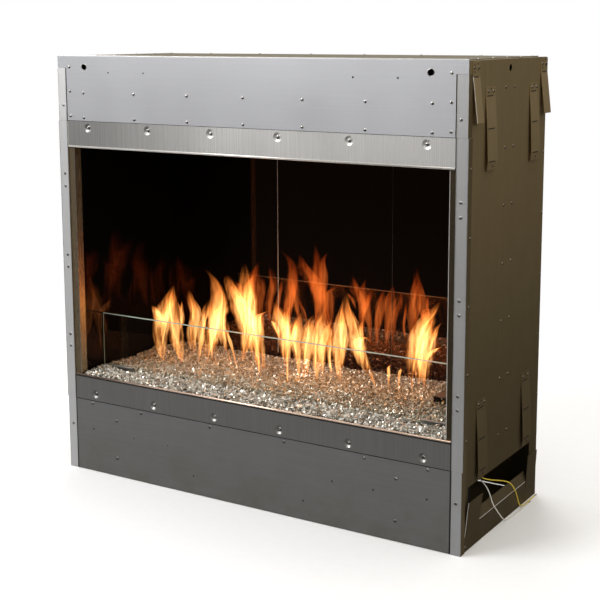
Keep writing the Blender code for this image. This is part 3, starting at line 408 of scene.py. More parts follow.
ALONG_X, ALONG_Z = (4.0, 260.0, 260.0), (260.0, 260.0, 4.0)
FINE_ALONG_Z = (330.0, 330.0, 3.0)
# The olive that flank paints onto faces that look sideways: painted shade.
OLIVE = (0.25, 0.19, 0.105)
DUST_HEIGHT, DUST_COLOUR = 0.16, (0.20, 0.18, 0.14, 1)
# Painted light: the casing and the stand-offs darken towards the floor and lighten towards the top,
# as the light falls from above.
PAINTED_LIGHT_FROM_ABOVE = (Z, 0.05, 0.90, 0.62, 1.45)
FINISH = {
    "casing_sheet": steel_sheet(
        "aluminised casing", (0.43, 0.33, 0.18), (0.22, 0.162, 0.082), ALONG_Z,
        0.5, 1.0, 0.42, 0.75, 0.25, fade=PAINTED_LIGHT_FROM_ABOVE,
    ),
    "top_sheet": steel_sheet(
        "aluminised top", (0.20, 0.175, 0.125), (0.11, 0.096, 0.066), ALONG_X, 0.5, 1.1, 0.52, 0.3
    ),
    "standoff_sheet": steel_sheet(
        "stand-off strip", (0.50, 0.38, 0.21), (0.28, 0.206, 0.105), ALONG_Z,
        0.6, 0.8, 0.40, fade=PAINTED_LIGHT_FROM_ABOVE,
    ),
    # Painted light: the fade lightens the facing towards its right end.
    "upper_facing": steel_sheet(
        "light facing", (0.60, 0.61, 0.65), (0.47, 0.48, 0.515), ALONG_X, 0.45, 0.8, 0.42, 0.6,
        fade=(X, -0.30, 0.45, 1.02, 1.22),
    ),
    "lower_facing": steel_sheet(
        "dark facing", (0.31, 0.31, 0.315), (0.19, 0.191, 0.195), ALONG_X, 0.5, 1.0, 0.40, 0.6, 0.5
    ),
    # Painted light: the fade darkens the strip's left end and lightens its right end.
    "upper_strip": steel_sheet(
        "light strip", (0.86, 0.85, 0.85), (0.44, 0.435, 0.43), FINE_ALONG_Z, 1.3, 1.0, 0.36, 0.7,
        fade=(X, -0.42, 0.05, 0.62, 1.40),
    ),
    "lower_strip": steel_sheet(
        "dark strip", (0.37, 0.365, 0.36), (0.21, 0.205, 0.20), FINE_ALONG_Z, 0.8, 0.8, 0.36, 0.7
    ),
    # Painted light: the fade lightens the left post. flank paints the posts' sideways faces olive.
    "post_sheet": steel_sheet(
        "post", (0.80, 0.805, 0.83), (0.58, 0.585, 0.60), ALONG_Z, 0.7, 0.7, 0.38, 0.7,
        flank=1.0, fade=(X, -0.47, 0.40, 1.38, 1.0),
    ),
    # Painted reflection: the fade makes the left jamb 2.6 times brighter, the firelight it mirrors.
    "jamb_sheet": steel_sheet(
        "jamb", (0.20, 0.155, 0.10), (0.11, 0.083, 0.050), ALONG_Z, 0.7, 0.5, 0.26, 0.8,
        fade=(X, -0.30, 0.30, 2.6, 0.85),
    ),
    "firebox_sheet": steel_sheet(
        "firebox", (0.10, 0.098, 0.095), (0.055, 0.053, 0.05), ALONG_X, 0.5, 1.0, 0.5
    ),
    "stainless": steel_sheet(
        "stainless burner", (0.45, 0.44, 0.43), (0.30, 0.29, 0.28), ALONG_X, 0.7, 0.5, 0.28, 0.95
    ),
    "clip_sheet": steel_sheet(
        "guard clip", (0.36, 0.35, 0.33), (0.22, 0.215, 0.20), ALONG_X, 0.8, 1.0, 0.50, 0.45
    ),
    "pilot_sheet": steel_sheet(
        "heat-tinted pilot", (0.26, 0.21, 0.17), (0.10, 0.085, 0.09), ALONG_Z, 0.6, 1.4, 0.34, 0.9
    ),
    "gas_tubing": steel_sheet(
        "aluminium tube", (0.62, 0.62, 0.62), (0.45, 0.45, 0.45), ALONG_X, 0.4, 0.5, 0.30, 0.95
    ),
    "cast_aluminium": steel_sheet(
        "cast valve body", (0.50, 0.50, 0.50), (0.34, 0.34, 0.34), even(700.0),
        0.8, 0.6, 0.48, 0.85
    ),
    "black_pipe": steel_sheet(
        "black iron pipe", (0.045, 0.043, 0.04), (0.02, 0.02, 0.02), even(500.0),
        0.8, 0.8, 0.5, 0.6
    ),
    "brass": steel_sheet(
        "brass", (0.68, 0.50, 0.22), (0.48, 0.33, 0.12), (500.0, 500.0, 60.0), 0.5, 0.8, 0.26, 0.95
    ),
}
print("steel and metal finishes", len(FINISH))

# %% [markdown]
# ## Plastic, rubber and ceramic
#
# Dipped rubber, moulded plastic and glazed ceramic all show an even colour under a skin that
# ripples a little. One function makes them: two tones mixed by noise, and a fine bump.

# %% Plastic, rubber and ceramic finishes
def moulded(name, tone, shade, dullness, grain, coat=0.0, fade=None):
    """Two tones mixed by slow noise under a fine bump. grain is the scale of that bump."""
    material, tree, shader = new_finish(name, Coat_Weight=coat, Coat_Roughness=0.15)
    where = object_points(tree)
    patches = noise(tree, where, 45.0, 4.0, 0.6)
    fine = noise(tree, where, grain, 2.0, 0.5)
    colour = mix_colours(tree, patches, (*shade, 1), (*tone, 1))
    if fade:
        colour = painted_light_fade(tree, colour, fade)
    rough = remap(tree, patches, 0.2, 0.8, dullness + 0.08, dullness - 0.08)
    dress(tree, shader, colour, rough, bump(tree, fine, 0.25, 0.0002))
    return material


MOULDED = {
    "red_grip": ("dipped red grip", (0.55, 0.03, 0.02), (0.38, 0.015, 0.01), 0.42, 700.0, 0.2),
    "black_plastic": ("black moulding", (0.030, 0.030, 0.031), (0.016, 0.016, 0.017), 0.45, 1400.0),
    "ceramic": ("glazed ceramic", (0.86, 0.83, 0.76), (0.76, 0.72, 0.63), 0.25, 500.0, 0.6),
    "white_wire": ("white insulation", (0.80, 0.78, 0.72), (0.62, 0.60, 0.54), 0.40, 900.0, 0.15),
    "yellow_wire": ("yellow insulation", (0.80, 0.62, 0.07), (0.62, 0.44, 0.03), 0.40, 900.0, 0.15),
}
for name, given in MOULDED.items():
    FINISH[name] = moulded(*given)
print("moulded finishes", len(MOULDED))

# %% [markdown]
# ## Glass
#
# The firebox is lined with black enamelled glass, which is an almost black surface under a
# mirror: the flames and the bed show in it a second time, darker and redder, because the mirror
# is tinted. The side panes mirror less than the back. The wind guard is clear glass. Light that
# passes a solid pane bends twice and would leave the bed dark behind it, so shadow rays go
# straight through a transparent shader that carries the pane's faint green.

# %% Black glass and clear glass
def black_glass(name, strength):
    """Almost black under a tinted mirror. A higher strength mirrors more."""
    material, tree, shader = new_finish(name, IOR=strength, Specular_Tint=(1.0, 0.45, 0.25, 1))
    where = object_points(tree)
    haze = noise(tree, where, 9.0, 4.0, 0.6)
    black = mix_colours(tree, haze, (0.0012, 0.0012, 0.0013, 1), (0.003, 0.0028, 0.0026, 1))
    film = noise(tree, stretched(tree, where, (12.0, 12.0, 5.0)), 1.0, 5.0, 0.65)
    rough = remap(tree, film, 0.35, 0.75, 0.012, 0.05)
    dress(tree, shader, black, rough, bump(tree, noise(tree, where, 5.0, 1.0), 0.02, 0.002))
    return material


def clear_glass():
    """A clear pane with a faint film. Shadow rays pass it unbent."""
    material, tree, shader = new_finish("clear guard glass", IOR=1.46, Transmission_Weight=1.0)
    where = object_points(tree)
    film = noise(tree, stretched(tree, where, (6.0, 6.0, 14.0)), 1.0, 4.0, 0.6)
    tint = mix_colours(tree, film, (0.95, 0.985, 0.965, 1), (0.985, 1.0, 0.992, 1))
    wire(tree, tint, shader.inputs["Base Color"])
    wire(tree, remap(tree, film, 0.3, 0.8, 0.0, 0.03), shader.inputs["Roughness"])
    straight = add_node(tree, "ShaderNodeBsdfTransparent")
    straight.inputs[0].default_value = (0.90, 0.96, 0.93, 1)
    shadow = add_node(tree, "ShaderNodeLightPath").outputs["Is Shadow Ray"]
    end_with(tree, "ShaderNodeMixShader", shadow, shader.outputs[0], straight.outputs[0])
    return material


FINISH["black_glass"] = black_glass("black enamelled glass", 2.6)
SIDE_GLASS = black_glass("black side glass", 1.33)
FINISH["clear_glass"] = clear_glass()

# %% [markdown]
# ## Crushed glass
#
# The chips are tempered glass with a thin mirror coat, broken and tumbled. Some facets flash,
# some are smoke brown and some almost black. Each chip carries its own number from 0 to 1 in an
# attribute, and a colour ramp turns that number into the chip's tone, so one material serves
# thousands of chips. Behind the wind guard, near the flames, all of them turn browner: painted
# firelight. The CAD bed below them has the same look from a cell pattern, darker towards the
# gaps between cells as painted shade.

# %% Crushed glass finishes
CHIP_TONES = [
    (0.00, (0.07, 0.060, 0.048)),
    (0.22, (0.32, 0.285, 0.23)),
    (0.50, (0.56, 0.52, 0.45)),
    (0.76, (0.78, 0.76, 0.71)),
    (1.00, (0.97, 0.97, 0.95)),
]


def ramp(tree, factor, tones):
    """A colour ramp with those (place, colour) stops."""
    node = add_node(tree, "ShaderNodeValToRGB")
    stops = node.color_ramp.elements
    while len(stops) < len(tones):
        stops.new(0.5)
    for stop, (place, tone) in zip(stops, tones):
        stop.position = place
        stop.color = (*tone, 1)
    wire(tree, factor, node.inputs[0])
    return node.outputs[0]


def chip_finish():
    """The tone comes from the chip's own number and turns browner behind the guard: painted
    firelight.
    """
    material, tree, shader = new_finish(
        "crushed glass chips", IOR=1.6, Metallic=0.35, Coat_Weight=0.6, Coat_Roughness=0.03
    )
    number = add_node(tree, "ShaderNodeAttribute", attribute_name="chip")
    where = object_points(tree)
    # Painted firelight: chips behind the guard, near the flames, turn warm brown.
    firelit = remap(tree, component(tree, where, Y), -0.125, -0.095, 0.0, 0.55)
    tone = ramp(tree, number.outputs["Fac"], CHIP_TONES)
    brown = mix_colours(tree, firelit, tone, (0.30, 0.20, 0.125, 1))
    rough = remap(tree, number.outputs["Fac"], 0.0, 1.0, 0.10, 0.24)
    flaws = noise(tree, where, 420.0, 2.0, 0.6)
    dress(tree, shader, brown, rough, bump(tree, flaws, 0.35, 0.0008))
    return material


def bed_finish():
    """A cell pattern: one tone for each cell, darker towards the gaps between them as painted
    shade.
    """
    material, tree, shader = new_finish("crushed glass below", IOR=1.55, Metallic=0.3)
    where = object_points(tree)
    cells = add_node(tree, "ShaderNodeTexVoronoi")
    wire(tree, where, cells.inputs["Vector"])
    cells.inputs["Scale"].default_value = 170.0
    tone = add_node(tree, "ShaderNodeSeparateColor")
    wire(tree, cells.outputs["Color"], tone.inputs[0])
    gap = remap(tree, cells.outputs["Distance"], 0.25, 0.65, 0.55, 0.0)
    number = times(tree, tone.outputs[0], plus(tree, gap, 0.1))
    rough = remap(tree, tone.outputs[1], 0.0, 1.0, 0.12, 0.45)
    rounded = bump(tree, cells.outputs["Distance"], 0.9, 0.004)
    dress(tree, shader, ramp(tree, number, CHIP_TONES), rough, rounded)
    return material


CHIPS = chip_finish()
FINISH["crushed_glass"] = bed_finish()
print("finishes", len(FINISH))

# %% [markdown]
# ## Dress the frame
#
# The record of the frame names a material slot for each node. One loop gives each node the
# finish of its slot, and the two side panes one of their own. The meshes stay as they are.

# %% Finishes onto the CAD nodes
slot_of = {row["node"]: row["material_slot"] for row in frame["record"]["subparts"]}
own_finish = {"left_side_glass": SIDE_GLASS, "right_side_glass": SIDE_GLASS}
for name, node in frame["nodes"].items():
    node.data.materials.clear()
    node.data.materials.append(own_finish.get(name, FINISH[slot_of[name]]))
print("dressed", len(slot_of), "nodes")

# %% [markdown]
# ## Supply leads
#
# Two insulated wires leave the ignition module, cross the access opening in the right flank,
# hang over its sill and lie on the floor. The photograph shows them down to the casing's bottom
# edge, where its background is cut out. The stretch on the floor and the stripped ends are a
# guess: each is 0.3 m of 2.4 mm wire, as such supply leads often are. A lead is a circle carried
# along a smooth curve. The curve is Catmull-Rom: between two points b and c, with a before and d
# after, it is half of 2b + (c-a)t + (2a-5b+4c-d)t^2 + (3b-a-3c+d)t^3.

# %% A tube along a smooth route
WHITE_ROUTE = [
    (0.4345, -0.0500, 0.1120), (0.4420, -0.0500, 0.1119), (0.4570, -0.0500, 0.1090),
    (0.4700, -0.0500, 0.1025), (0.4810, -0.0500, 0.0920), (0.4880, -0.0505, 0.0810),
    (0.4925, -0.0505, 0.0700), (0.4955, -0.0490, 0.0595), (0.4968, -0.0390, 0.0470),
    (0.4970, -0.0180, 0.0270), (0.4980, 0.0020, 0.0090), (0.4995, 0.0160, 0.0026),
    (0.5010, 0.0330, 0.0016), (0.5025, 0.0600, 0.0016), (0.5030, 0.0900, 0.0016),
    (0.5025, 0.1200, 0.0016), (0.5020, 0.1430, 0.0016),
]
YELLOW_ROUTE = [
    (0.4345, -0.0380, 0.1120), (0.4420, -0.0380, 0.1118), (0.4570, -0.0380, 0.1080),
    (0.4680, -0.0320, 0.1010), (0.4755, -0.0140, 0.0935), (0.4810, 0.0080, 0.0865),
    (0.4860, 0.0290, 0.0795), (0.4905, 0.0440, 0.0730), (0.4940, 0.0550, 0.0640),
    (0.4958, 0.0640, 0.0530), (0.4965, 0.0740, 0.0400), (0.4968, 0.0830, 0.0240),
    (0.4970, 0.0930, 0.0095), (0.4975, 0.1040, 0.0030), (0.4978, 0.1180, 0.0016),
    (0.4980, 0.1500, 0.0016), (0.4980, 0.1880, 0.0016),
]
LEAD_DIAMETER = 0.0024
STRIPPED, STRAND_RADIUS, TUCKED_IN = 0.012, 0.00075, 0.003


def smooth_route(points, steps=8):
    """Catmull-Rom through the points, as one array, `steps` samples between two of them."""
    p = np.asarray(points, float)
    p = np.concatenate([2 * p[:1] - p[1:2], p, 2 * p[-1:] - p[-2:-1]])
    t = (np.arange(steps) / steps)[None, :, None]
    a, b, c, d = (p[k : len(p) - 3 + k, None, :] for k in range(4))
    curve = 2 * b + (c - a) * t
    curve = curve + (2 * a - 5 * b + 4 * c - d) * t**2 + (3 * b - a - 3 * c + d) * t**3
    return np.concatenate([0.5 * curve.reshape(-1, 3), p[-2:-1]])


def frames_along(route, fixed):
    """Two unit directions across a route at each point: its tangent crossed with a fixed one."""
    along = np.gradient(route, axis=0)
    along /= np.linalg.norm(along, axis=1, keepdims=True)
    side = np.cross(along, fixed)
    side /= np.linalg.norm(side, axis=1, keepdims=True)
    return side, np.cross(side, along)


def tube_along(route, radius, sides=12, fixed=(1.0, -1.0, 1.0)):
    """Circle of that radius carried along the route: p + r(cos t side + sin t other), closed ends.

    The end rings shrink to a point. The route never runs along `fixed`, so no ring flips."""
    radius = np.array([1e-5, *[radius] * len(route), 1e-5])
    route = np.concatenate([route[:1], route, route[-1:]])
    side, other = frames_along(route[1:-1], fixed)
    side, other = (np.concatenate([x[:1], x, x[-1:]]) for x in (side, other))
    turn = np.linspace(0, 2 * np.pi, sides, endpoint=False)[None, :, None]
    ring = np.cos(turn) * side[:, None] + np.sin(turn) * other[:, None]
    points = route[:, None] + radius[:, None, None] * ring
    return points.reshape(-1, 3), grid_faces(len(route), sides, round_columns=True)[:, ::-1]


# %% The two leads and their stripped ends
COPPER = steel_sheet(
    "copper strands", (0.85, 0.42, 0.24), (0.60, 0.26, 0.13), even(900.0), 0.6, 0.5, 0.25, 0.95
)
for colour, points in (("white", WHITE_ROUTE), ("yellow", YELLOW_ROUTE)):
    route = smooth_route(points)
    reach = np.concatenate([[0], np.cumsum(np.linalg.norm(np.diff(route, axis=0), axis=1))])
    length = float(reach[-1])
    insulated = route[reach < length - STRIPPED]
    strands = route[reach >= length - STRIPPED - TUCKED_IN]
    slot = f"{colour}_wire"
    skin = tube_along(insulated, LEAD_DIAMETER / 2)
    cover = piece(f"{colour}_insulation", *skin, FINISH[slot], slot=slot, smooth=True)
    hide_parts(f"{colour}_lead")
    bare = tube_along(strands, STRAND_RADIUS, 8)
    core = piece(f"{colour}_strands", *bare, COPPER, smooth=True)
    print(colour, "lead is", round(length, 4), "m long")

# %% [markdown]
# ## Floor, backdrop and lights
#
# A product picture stands on a pale floor that has no far edge. The floor is a disc whose middle
# takes real light and shadow, and which turns into the same white as the backdrop further out.
# The backdrop is white for the camera only. Metal and black glass see a dim room in it, because
# a white room all round would wash every mirror out. Four soft boxes do the lighting. The rear
# one isn't seen in mirrors, where it would turn the lid white at this low angle.

# %% The floor
FLOOR_RADIUS, WHITE_FROM_TO = 14.0, (0.55, 2.1)


def disc(radius, rings=16, sides=96):
    """(r cos t, r sin t, 0): r runs from almost 0 to the radius, t once round."""
    r = np.linspace(1e-4, radius, rings)[:, None]
    t = np.linspace(0, 2 * np.pi, sides, endpoint=False)[None, :]
    points = np.stack([r * np.cos(t), r * np.sin(t), 0 * r * t], axis=-1)
    return points.reshape(-1, 3), grid_faces(rings, sides, round_columns=True)


def floor_finish():
    """Pale and lit in the middle, turning into the backdrop's white further out."""
    material, tree, shader = new_finish("pale floor")
    where = object_points(tree)
    grain = noise(tree, where, 60.0, 4.0)
    pale = mix_colours(tree, grain, (0.90, 0.915, 0.95, 1), (0.94, 0.955, 0.985, 1))
    wire(tree, pale, shader.inputs["Base Color"])
    wire(tree, remap(tree, grain, 0.0, 1.0, 0.65, 0.75), shader.inputs["Roughness"])
    length = add_node(tree, "ShaderNodeVectorMath", operation="LENGTH")
    wire(tree, where, length.inputs[0])
    far = remap(tree, length.outputs["Value"], *WHITE_FROM_TO)
    path = add_node(tree, "ShaderNodeLightPath")
    white = add_node(tree, "ShaderNodeEmission")
    wire(tree, path.outputs["Is Camera Ray"], white.inputs["Strength"])
    end_with(tree, "ShaderNodeMixShader", far, shader.outputs[0], white.outputs[0])
    return material


floor = bpy.data.objects.new("floor", mesh_of("floor", *disc(FLOOR_RADIUS)))
SCENE.collection.objects.link(floor)
floor.data.materials.append(floor_finish())
floor.visible_glossy = False
floor.visible_transmission = False

# %% The backdrop
world = bpy.data.worlds.new("studio")
SCENE.world = world
world.use_nodes = True
tree = world.node_tree
sky = tree.nodes["Background"]
height = component(tree, add_node(tree, "ShaderNodeTexCoord").outputs["Generated"], Z)
low_room = remap(tree, height, -0.03, 0.12, 0.012, 0.20)
high_room = remap(tree, height, 0.10, 0.90, 0.0, 0.42)
wire(tree, plus(tree, low_room, high_room), sky.inputs["Strength"])
sky.inputs["Color"].default_value = (1.0, 0.96, 0.88, 1)
seen = add_node(tree, "ShaderNodeBackground")
seen.inputs["Color"].default_value = (1, 1, 1, 1)
ray = add_node(tree, "ShaderNodeLightPath").outputs["Is Camera Ray"]
end_with(tree, "ShaderNodeMixShader", ray, sky.outputs[0], seen.outputs[0], "World Output")


# %% The lights
def soft_box(name, at, aim, width, height, watts, colour):
    """A rectangular lamp at a place, turned so that it shines at another."""
    light = bpy.data.lights.new(name, "AREA")
    light.shape = "RECTANGLE"
    light.size, light.size_y = width, height
    light.energy = watts
    light.color = colour
    made = bpy.data.objects.new(name, light)
    SCENE.collection.objects.link(made)
    back = np.subtract(at, aim)
    back = back / np.linalg.norm(back)
    across = np.cross((0, 0, 1), back)
    across /= np.linalg.norm(across)
    over = np.cross(back, across)
    made.matrix_world = axes_matrix(across, over, back, at)
    return made


soft_box("key", (-1.9, -2.3, 2.3), (0, 0, 0.55), 2.2, 1.6, 95.0, (1.0, 0.99, 0.97))
soft_box("right_fill", (3.0, -0.7, 1.9), (0.3, 0, 0.5), 1.8, 1.8, 26.0, (1.0, 0.95, 0.86))
soft_box("overhead", (0.2, 0.3, 3.2), (0, 0, 0.9), 2.4, 1.6, 40.0, (1.0, 0.97, 0.93))
rear = soft_box("rear", (-1.6, 2.9, 2.0), (0, 0, 0.5), 2.0, 1.6, 55.0, (1.0, 0.98, 0.95))
rear.visible_glossy = False

# %% [markdown]
# ## The bed of crushed glass
#
# Tempered glass breaks into lumps that are nearly cubes, with a few sharp long ones. Each chip
# is a cube whose eight corners are pushed about at random, then stretched, turned and dropped
# onto the bed. Twelve triangles are enough for a lump a few pixels wide, and thousands of them
# make the sparkle that no bump map gives. The bed's own surface is the one in the CAD source:
# a plane with three slow sines on it.

# %% Chips over the bed
BED_TOP, BED_RIPPLE = 0.2235, 0.0022
BED_HALF, BED_FRONT, BED_MIDDLE, BED_REAR = 0.4525, -0.1895, 0.028, 0.1625
GUARD_Y, GUARD_CLEAR = -0.1094, 0.0068
CLIP_X, CLIP_Y, CLIP_CLEAR = 0.395, GUARD_Y - 0.006, (0.032, 0.014)
PILOT_X, PILOT_Y, PILOT_CLEAR = 0.350, 0.030, 0.026
CHIP_SIZE, CHIP_SPREAD, CHIP_SIZE_LIMITS = 0.0043, 0.24, (0.6, 1.6)
# For each layer of chips, the spacing of its grid and the range of its lift over the bed.
CHIP_LAYERS = ((0.0046, (0.0, 0.0018)), (0.0070, (0.0018, 0.0052)))
JITTER, CORNER_PUSH = 0.45, 0.20


def bed_height(x, y):
    """top + ripple (sin(21x+17y) + sin(37x-29y+1.3) + 0.8 sin(58x+43y+0.4)) / 1.6"""
    waves = np.sin(21 * x + 17 * y) + np.sin(37 * x - 29 * y + 1.3)
    waves = waves + 0.8 * np.sin(58 * x + 43 * y + 0.4)
    return BED_TOP + BED_RIPPLE * waves / 1.6


CUBE = np.array([[x, y, z] for x in (-1, 1) for y in (-1, 1) for z in (-1, 1)]) * 0.5
CUBE_FACES = np.array(
    [[0, 1, 3], [0, 3, 2], [4, 6, 7], [4, 7, 5], [0, 4, 5], [0, 5, 1],
     [2, 3, 7], [2, 7, 6], [0, 2, 6], [0, 6, 4], [1, 5, 7], [1, 7, 3]]
)


def random_turns(random, count):
    """Turning matrices from random unit quaternions (w, x, y, z)."""
    q = random.normal(size=(count, 4))
    w, x, y, z = (q / np.linalg.norm(q, axis=1, keepdims=True)).T
    return np.stack(
        [1 - 2 * (y * y + z * z), 2 * (x * y - w * z), 2 * (x * z + w * y),
         2 * (x * y + w * z), 1 - 2 * (x * x + z * z), 2 * (y * z - w * x),
         2 * (x * z - w * y), 2 * (y * z + w * x), 1 - 2 * (x * x + y * y)], axis=-1
    ).reshape(-1, 3, 3)


def scattered(random, low_y, high_y, spacing):
    """Points on a jittered square grid, away from the guard, its clips and the pilot."""
    x = np.arange(-BED_HALF, BED_HALF, spacing)
    y = np.arange(low_y, high_y, spacing)
    x, y = (g.ravel() for g in np.meshgrid(x, y))
    x = x + random.uniform(-JITTER, JITTER, x.size) * spacing
    y = y + random.uniform(-JITTER, JITTER, y.size) * spacing
    clip = (np.abs(np.abs(x) - CLIP_X) < CLIP_CLEAR[0]) & (np.abs(y - CLIP_Y) < CLIP_CLEAR[1])
    guard = np.abs(y - GUARD_Y) < GUARD_CLEAR
    pilot = np.hypot(x - PILOT_X, y - PILOT_Y) < PILOT_CLEAR
    inside = (np.abs(x) < BED_HALF) & (y > BED_FRONT) & (y < BED_REAR)
    keep = inside & ~clip & ~guard & ~pilot
    return x[keep], y[keep]


def chips(name, seed, low_y, high_y):
    """bed point + turn(stretch * (cube corner + random push)), for two layers of lumps.

    The upper layer is sparser. Each chip gets a tone number of its own."""
    random = np.random.default_rng(seed)
    layers = [scattered(random, low_y, high_y, spacing) for spacing, _ in CHIP_LAYERS]
    x, y = np.concatenate(layers, axis=1)
    lift = np.concatenate(
        [random.uniform(*span, layer[0].size) for (_, span), layer in zip(CHIP_LAYERS, layers)]
    )
    count = x.size
    size = CHIP_SIZE * random.lognormal(0.0, CHIP_SPREAD, count).clip(*CHIP_SIZE_LIMITS)
    stretch = size[:, None, None] * random.uniform(0.55, 1.2, (count, 1, 3))
    corners = (CUBE + random.uniform(-CORNER_PUSH, CORNER_PUSH, (count, 8, 3))) * stretch
    corners = np.einsum("nij,nkj->nki", random_turns(random, count), corners)
    middle = np.stack([x, y, bed_height(x, y) + lift], axis=-1)
    points = (corners + middle[:, None]).reshape(-1, 3)
    faces = (CUBE_FACES[None] + 8 * np.arange(count)[:, None, None]).reshape(-1, 3)
    made = piece(name, points, faces, CHIPS, slot="crushed_glass")
    tone = np.repeat(random.beta(1.5, 1.6, count), 8).astype(np.float32)
    made.data.attributes.new("chip", "FLOAT", "POINT").data.foreach_set("value", tone)


chips("chips_front", 11, BED_FRONT, GUARD_Y)
chips("chips_middle", 12, GUARD_Y, BED_MIDDLE)
chips("chips_rear", 13, BED_MIDDLE, BED_REAR)

# %% [markdown]
# ## Flames
#
# A gas flame is a thin bright skin that folds as it rises. Each blade here is three curved
# sheets round one spine: a broad one that faces the camera, a narrower one turned a little, and
# one across them, so that the blade has a shape from every side. A blade is set by four places:
# foot, belly, neck and tip. A cubic through four values a, b, c, d at 0, 1/3, 2/3 and 1 gives
# the spine and the half width at every height, for all blades in one matrix product. The UV map
# runs across the blade and up it. The finish reads that map: a crisp edge, a foot split into
# threads, folds that run upwards, and a deeper orange at the rim. A flame hides nothing behind
# it, so its light is added to what is seen through it.

# %% The flame finish
FLAME_HEAT = [
    (0.00, (1.00, 0.24, 0.035)),
    (0.50, (1.00, 0.34, 0.075)),
    (1.00, (1.00, 0.46, 0.140)),
]


def flame_finish():
    """Light and a mask from the blade's UV map: edge, foot, tip and folds."""
    material, tree, shader = new_finish(
        "flame", Base_Color=(0, 0, 0, 1), Emission_Strength=0.75, Roughness=1.0,
        Specular_IOR_Level=0.0,
    )
    place = add_node(tree, "ShaderNodeUVMap", uv_map="blade").outputs[0]
    across, rise = (component(tree, place, axis) for axis in (X, Y))
    where = object_points(tree)
    folds = noise(tree, stretched(tree, where, (120.0, 120.0, 11.0)), 1.0, 2.0, 0.5)
    licks = noise(tree, stretched(tree, where, (42.0, 42.0, 26.0)), 1.0, 2.0, 0.5)
    off_middle = math_node(tree, "ABSOLUTE", minus(tree, times(tree, across, 2.0), 1.0))
    body = minus(tree, 1.0, off_middle)
    skin = remap(tree, plus(tree, body, swing(tree, licks, 0.8)), 0.04, 0.42)
    foot = remap(tree, plus(tree, rise, swing(tree, folds, 0.7)), 0.0, 0.34)
    tip = remap(tree, rise, 1.0, 0.55)
    hollow = remap(tree, folds, 0.30, 0.62, 0.35, 1.0)
    mask = times(tree, times(tree, skin, foot), times(tree, tip, hollow))
    wire(tree, mask, shader.inputs["Alpha"])
    heat = times(tree, mask, remap(tree, rise, 1.0, 0.3, 0.4, 1.2))
    wire(tree, ramp(tree, heat, FLAME_HEAT), shader.inputs["Emission Color"])
    behind = add_node(tree, "ShaderNodeBsdfTransparent")
    wire(tree, mask, behind.inputs[0])
    end_with(tree, "ShaderNodeAddShader", None, shader.outputs[0], behind.outputs[0])
    return material


FLAME = flame_finish()

# %% The blades
# depth y, foot (x, z), belly (x, z, half width), neck (x, z, half width), tip (x, z), in mm
BLADES = np.array([
    (-8, -361, 222, -370, 298, 20, -348, 363, 17, -326, 416),
    (-8, -308, 222, -326, 302, 19, -333, 362, 14, -326, 414),
    (-8, -363, 303, -374, 327, 15, -387, 346, 8, -405, 355),
    (-8, -314, 304, -307, 335, 6, -311, 360, 4, -312, 377),
    (4, -292, 222, -282, 305, 14, -280, 361, 14, -290, 407),
    (4, -271, 222, -259, 303, 9, -252, 349, 7, -237, 386),
    (6, -249, 222, -225, 322, 21, -209, 393, 19, -256, 458),
    (6, -178, 243, -202, 315, 12, -207, 369, 11, -207, 423),
    (6, -226, 222, -227, 302, 15, -225, 352, 17, -224, 402),
    (6, -158, 222, -178, 286, 4, -190, 317, 5, -195, 346),
    (10, -155, 241, -134, 342, 24, -165, 407, 22, -191, 449),
    (10, -100, 222, -123, 324, 20, -138, 405, 20, -144, 482),
    (10, -134, 313, -125, 368, 16, -126, 421, 13, -106, 460),
    (10, -88, 222, -112, 325, 20, -98, 364, 9, -64, 381),
    (10, -149, 247, -140, 327, 12, -148, 370, 19, -159, 428),
    (-6, -16, 222, -26, 320, 15, -35, 372, 16, -50, 406),
    (-6, -21, 249, -21, 326, 11, -19, 369, 10, -9, 404),
    (-6, -37, 319, -47, 344, 7, -55, 355, 4, -63, 361),
    (2, 6, 222, 5, 299, 12, 2, 346, 16, 15, 388),
    (2, 22, 222, 32, 312, 17, 38, 355, 14, 50, 387),
    (2, 50, 222, 58, 311, 17, 65, 363, 13, 67, 399),
    (2, 68, 222, 72, 317, 12, 81, 356, 8, 87, 386),
    (2, -16, 291, -8, 326, 8, 1, 351, 7, 6, 375),
    (-8, 125, 222, 112, 320, 15, 119, 381, 10, 132, 445),
    (-8, 106, 239, 92, 298, 5, 93, 331, 5, 101, 362),
    (-8, 119, 250, 125, 331, 9, 127, 378, 8, 125, 419),
    (6, 199, 243, 159, 323, 17, 136, 385, 13, 130, 448),
    (6, 179, 279, 153, 329, 14, 169, 347, 8, 189, 333),
    (6, 168, 333, 162, 351, 6, 163, 369, 5, 165, 386),
    (6, 234, 222, 229, 278, 4, 233, 292, 2, 239, 306),
    (6, 255, 222, 257, 281, 3, 260, 291, 2, 263, 302),
    (8, 285, 245, 289, 340, 19, 314, 397, 17, 343, 449),
    (8, 315, 246, 315, 334, 16, 332, 377, 10, 356, 406),
    (8, 313, 307, 327, 335, 7, 343, 346, 4, 359, 354),
    (8, 301, 249, 303, 337, 17, 316, 388, 14, 317, 423),
], float) / 1000


def cubic(v, values):
    """A cubic in v through four values at 0, 1/3, 2/3 and 1, for each row of values."""
    powers = np.stack([np.ones_like(v), v, v**2, v**3])
    stations = np.linspace(0, 1, 4)
    fit = np.linalg.inv(np.stack([stations**k for k in range(4)], axis=1))
    return values @ fit.T @ powers


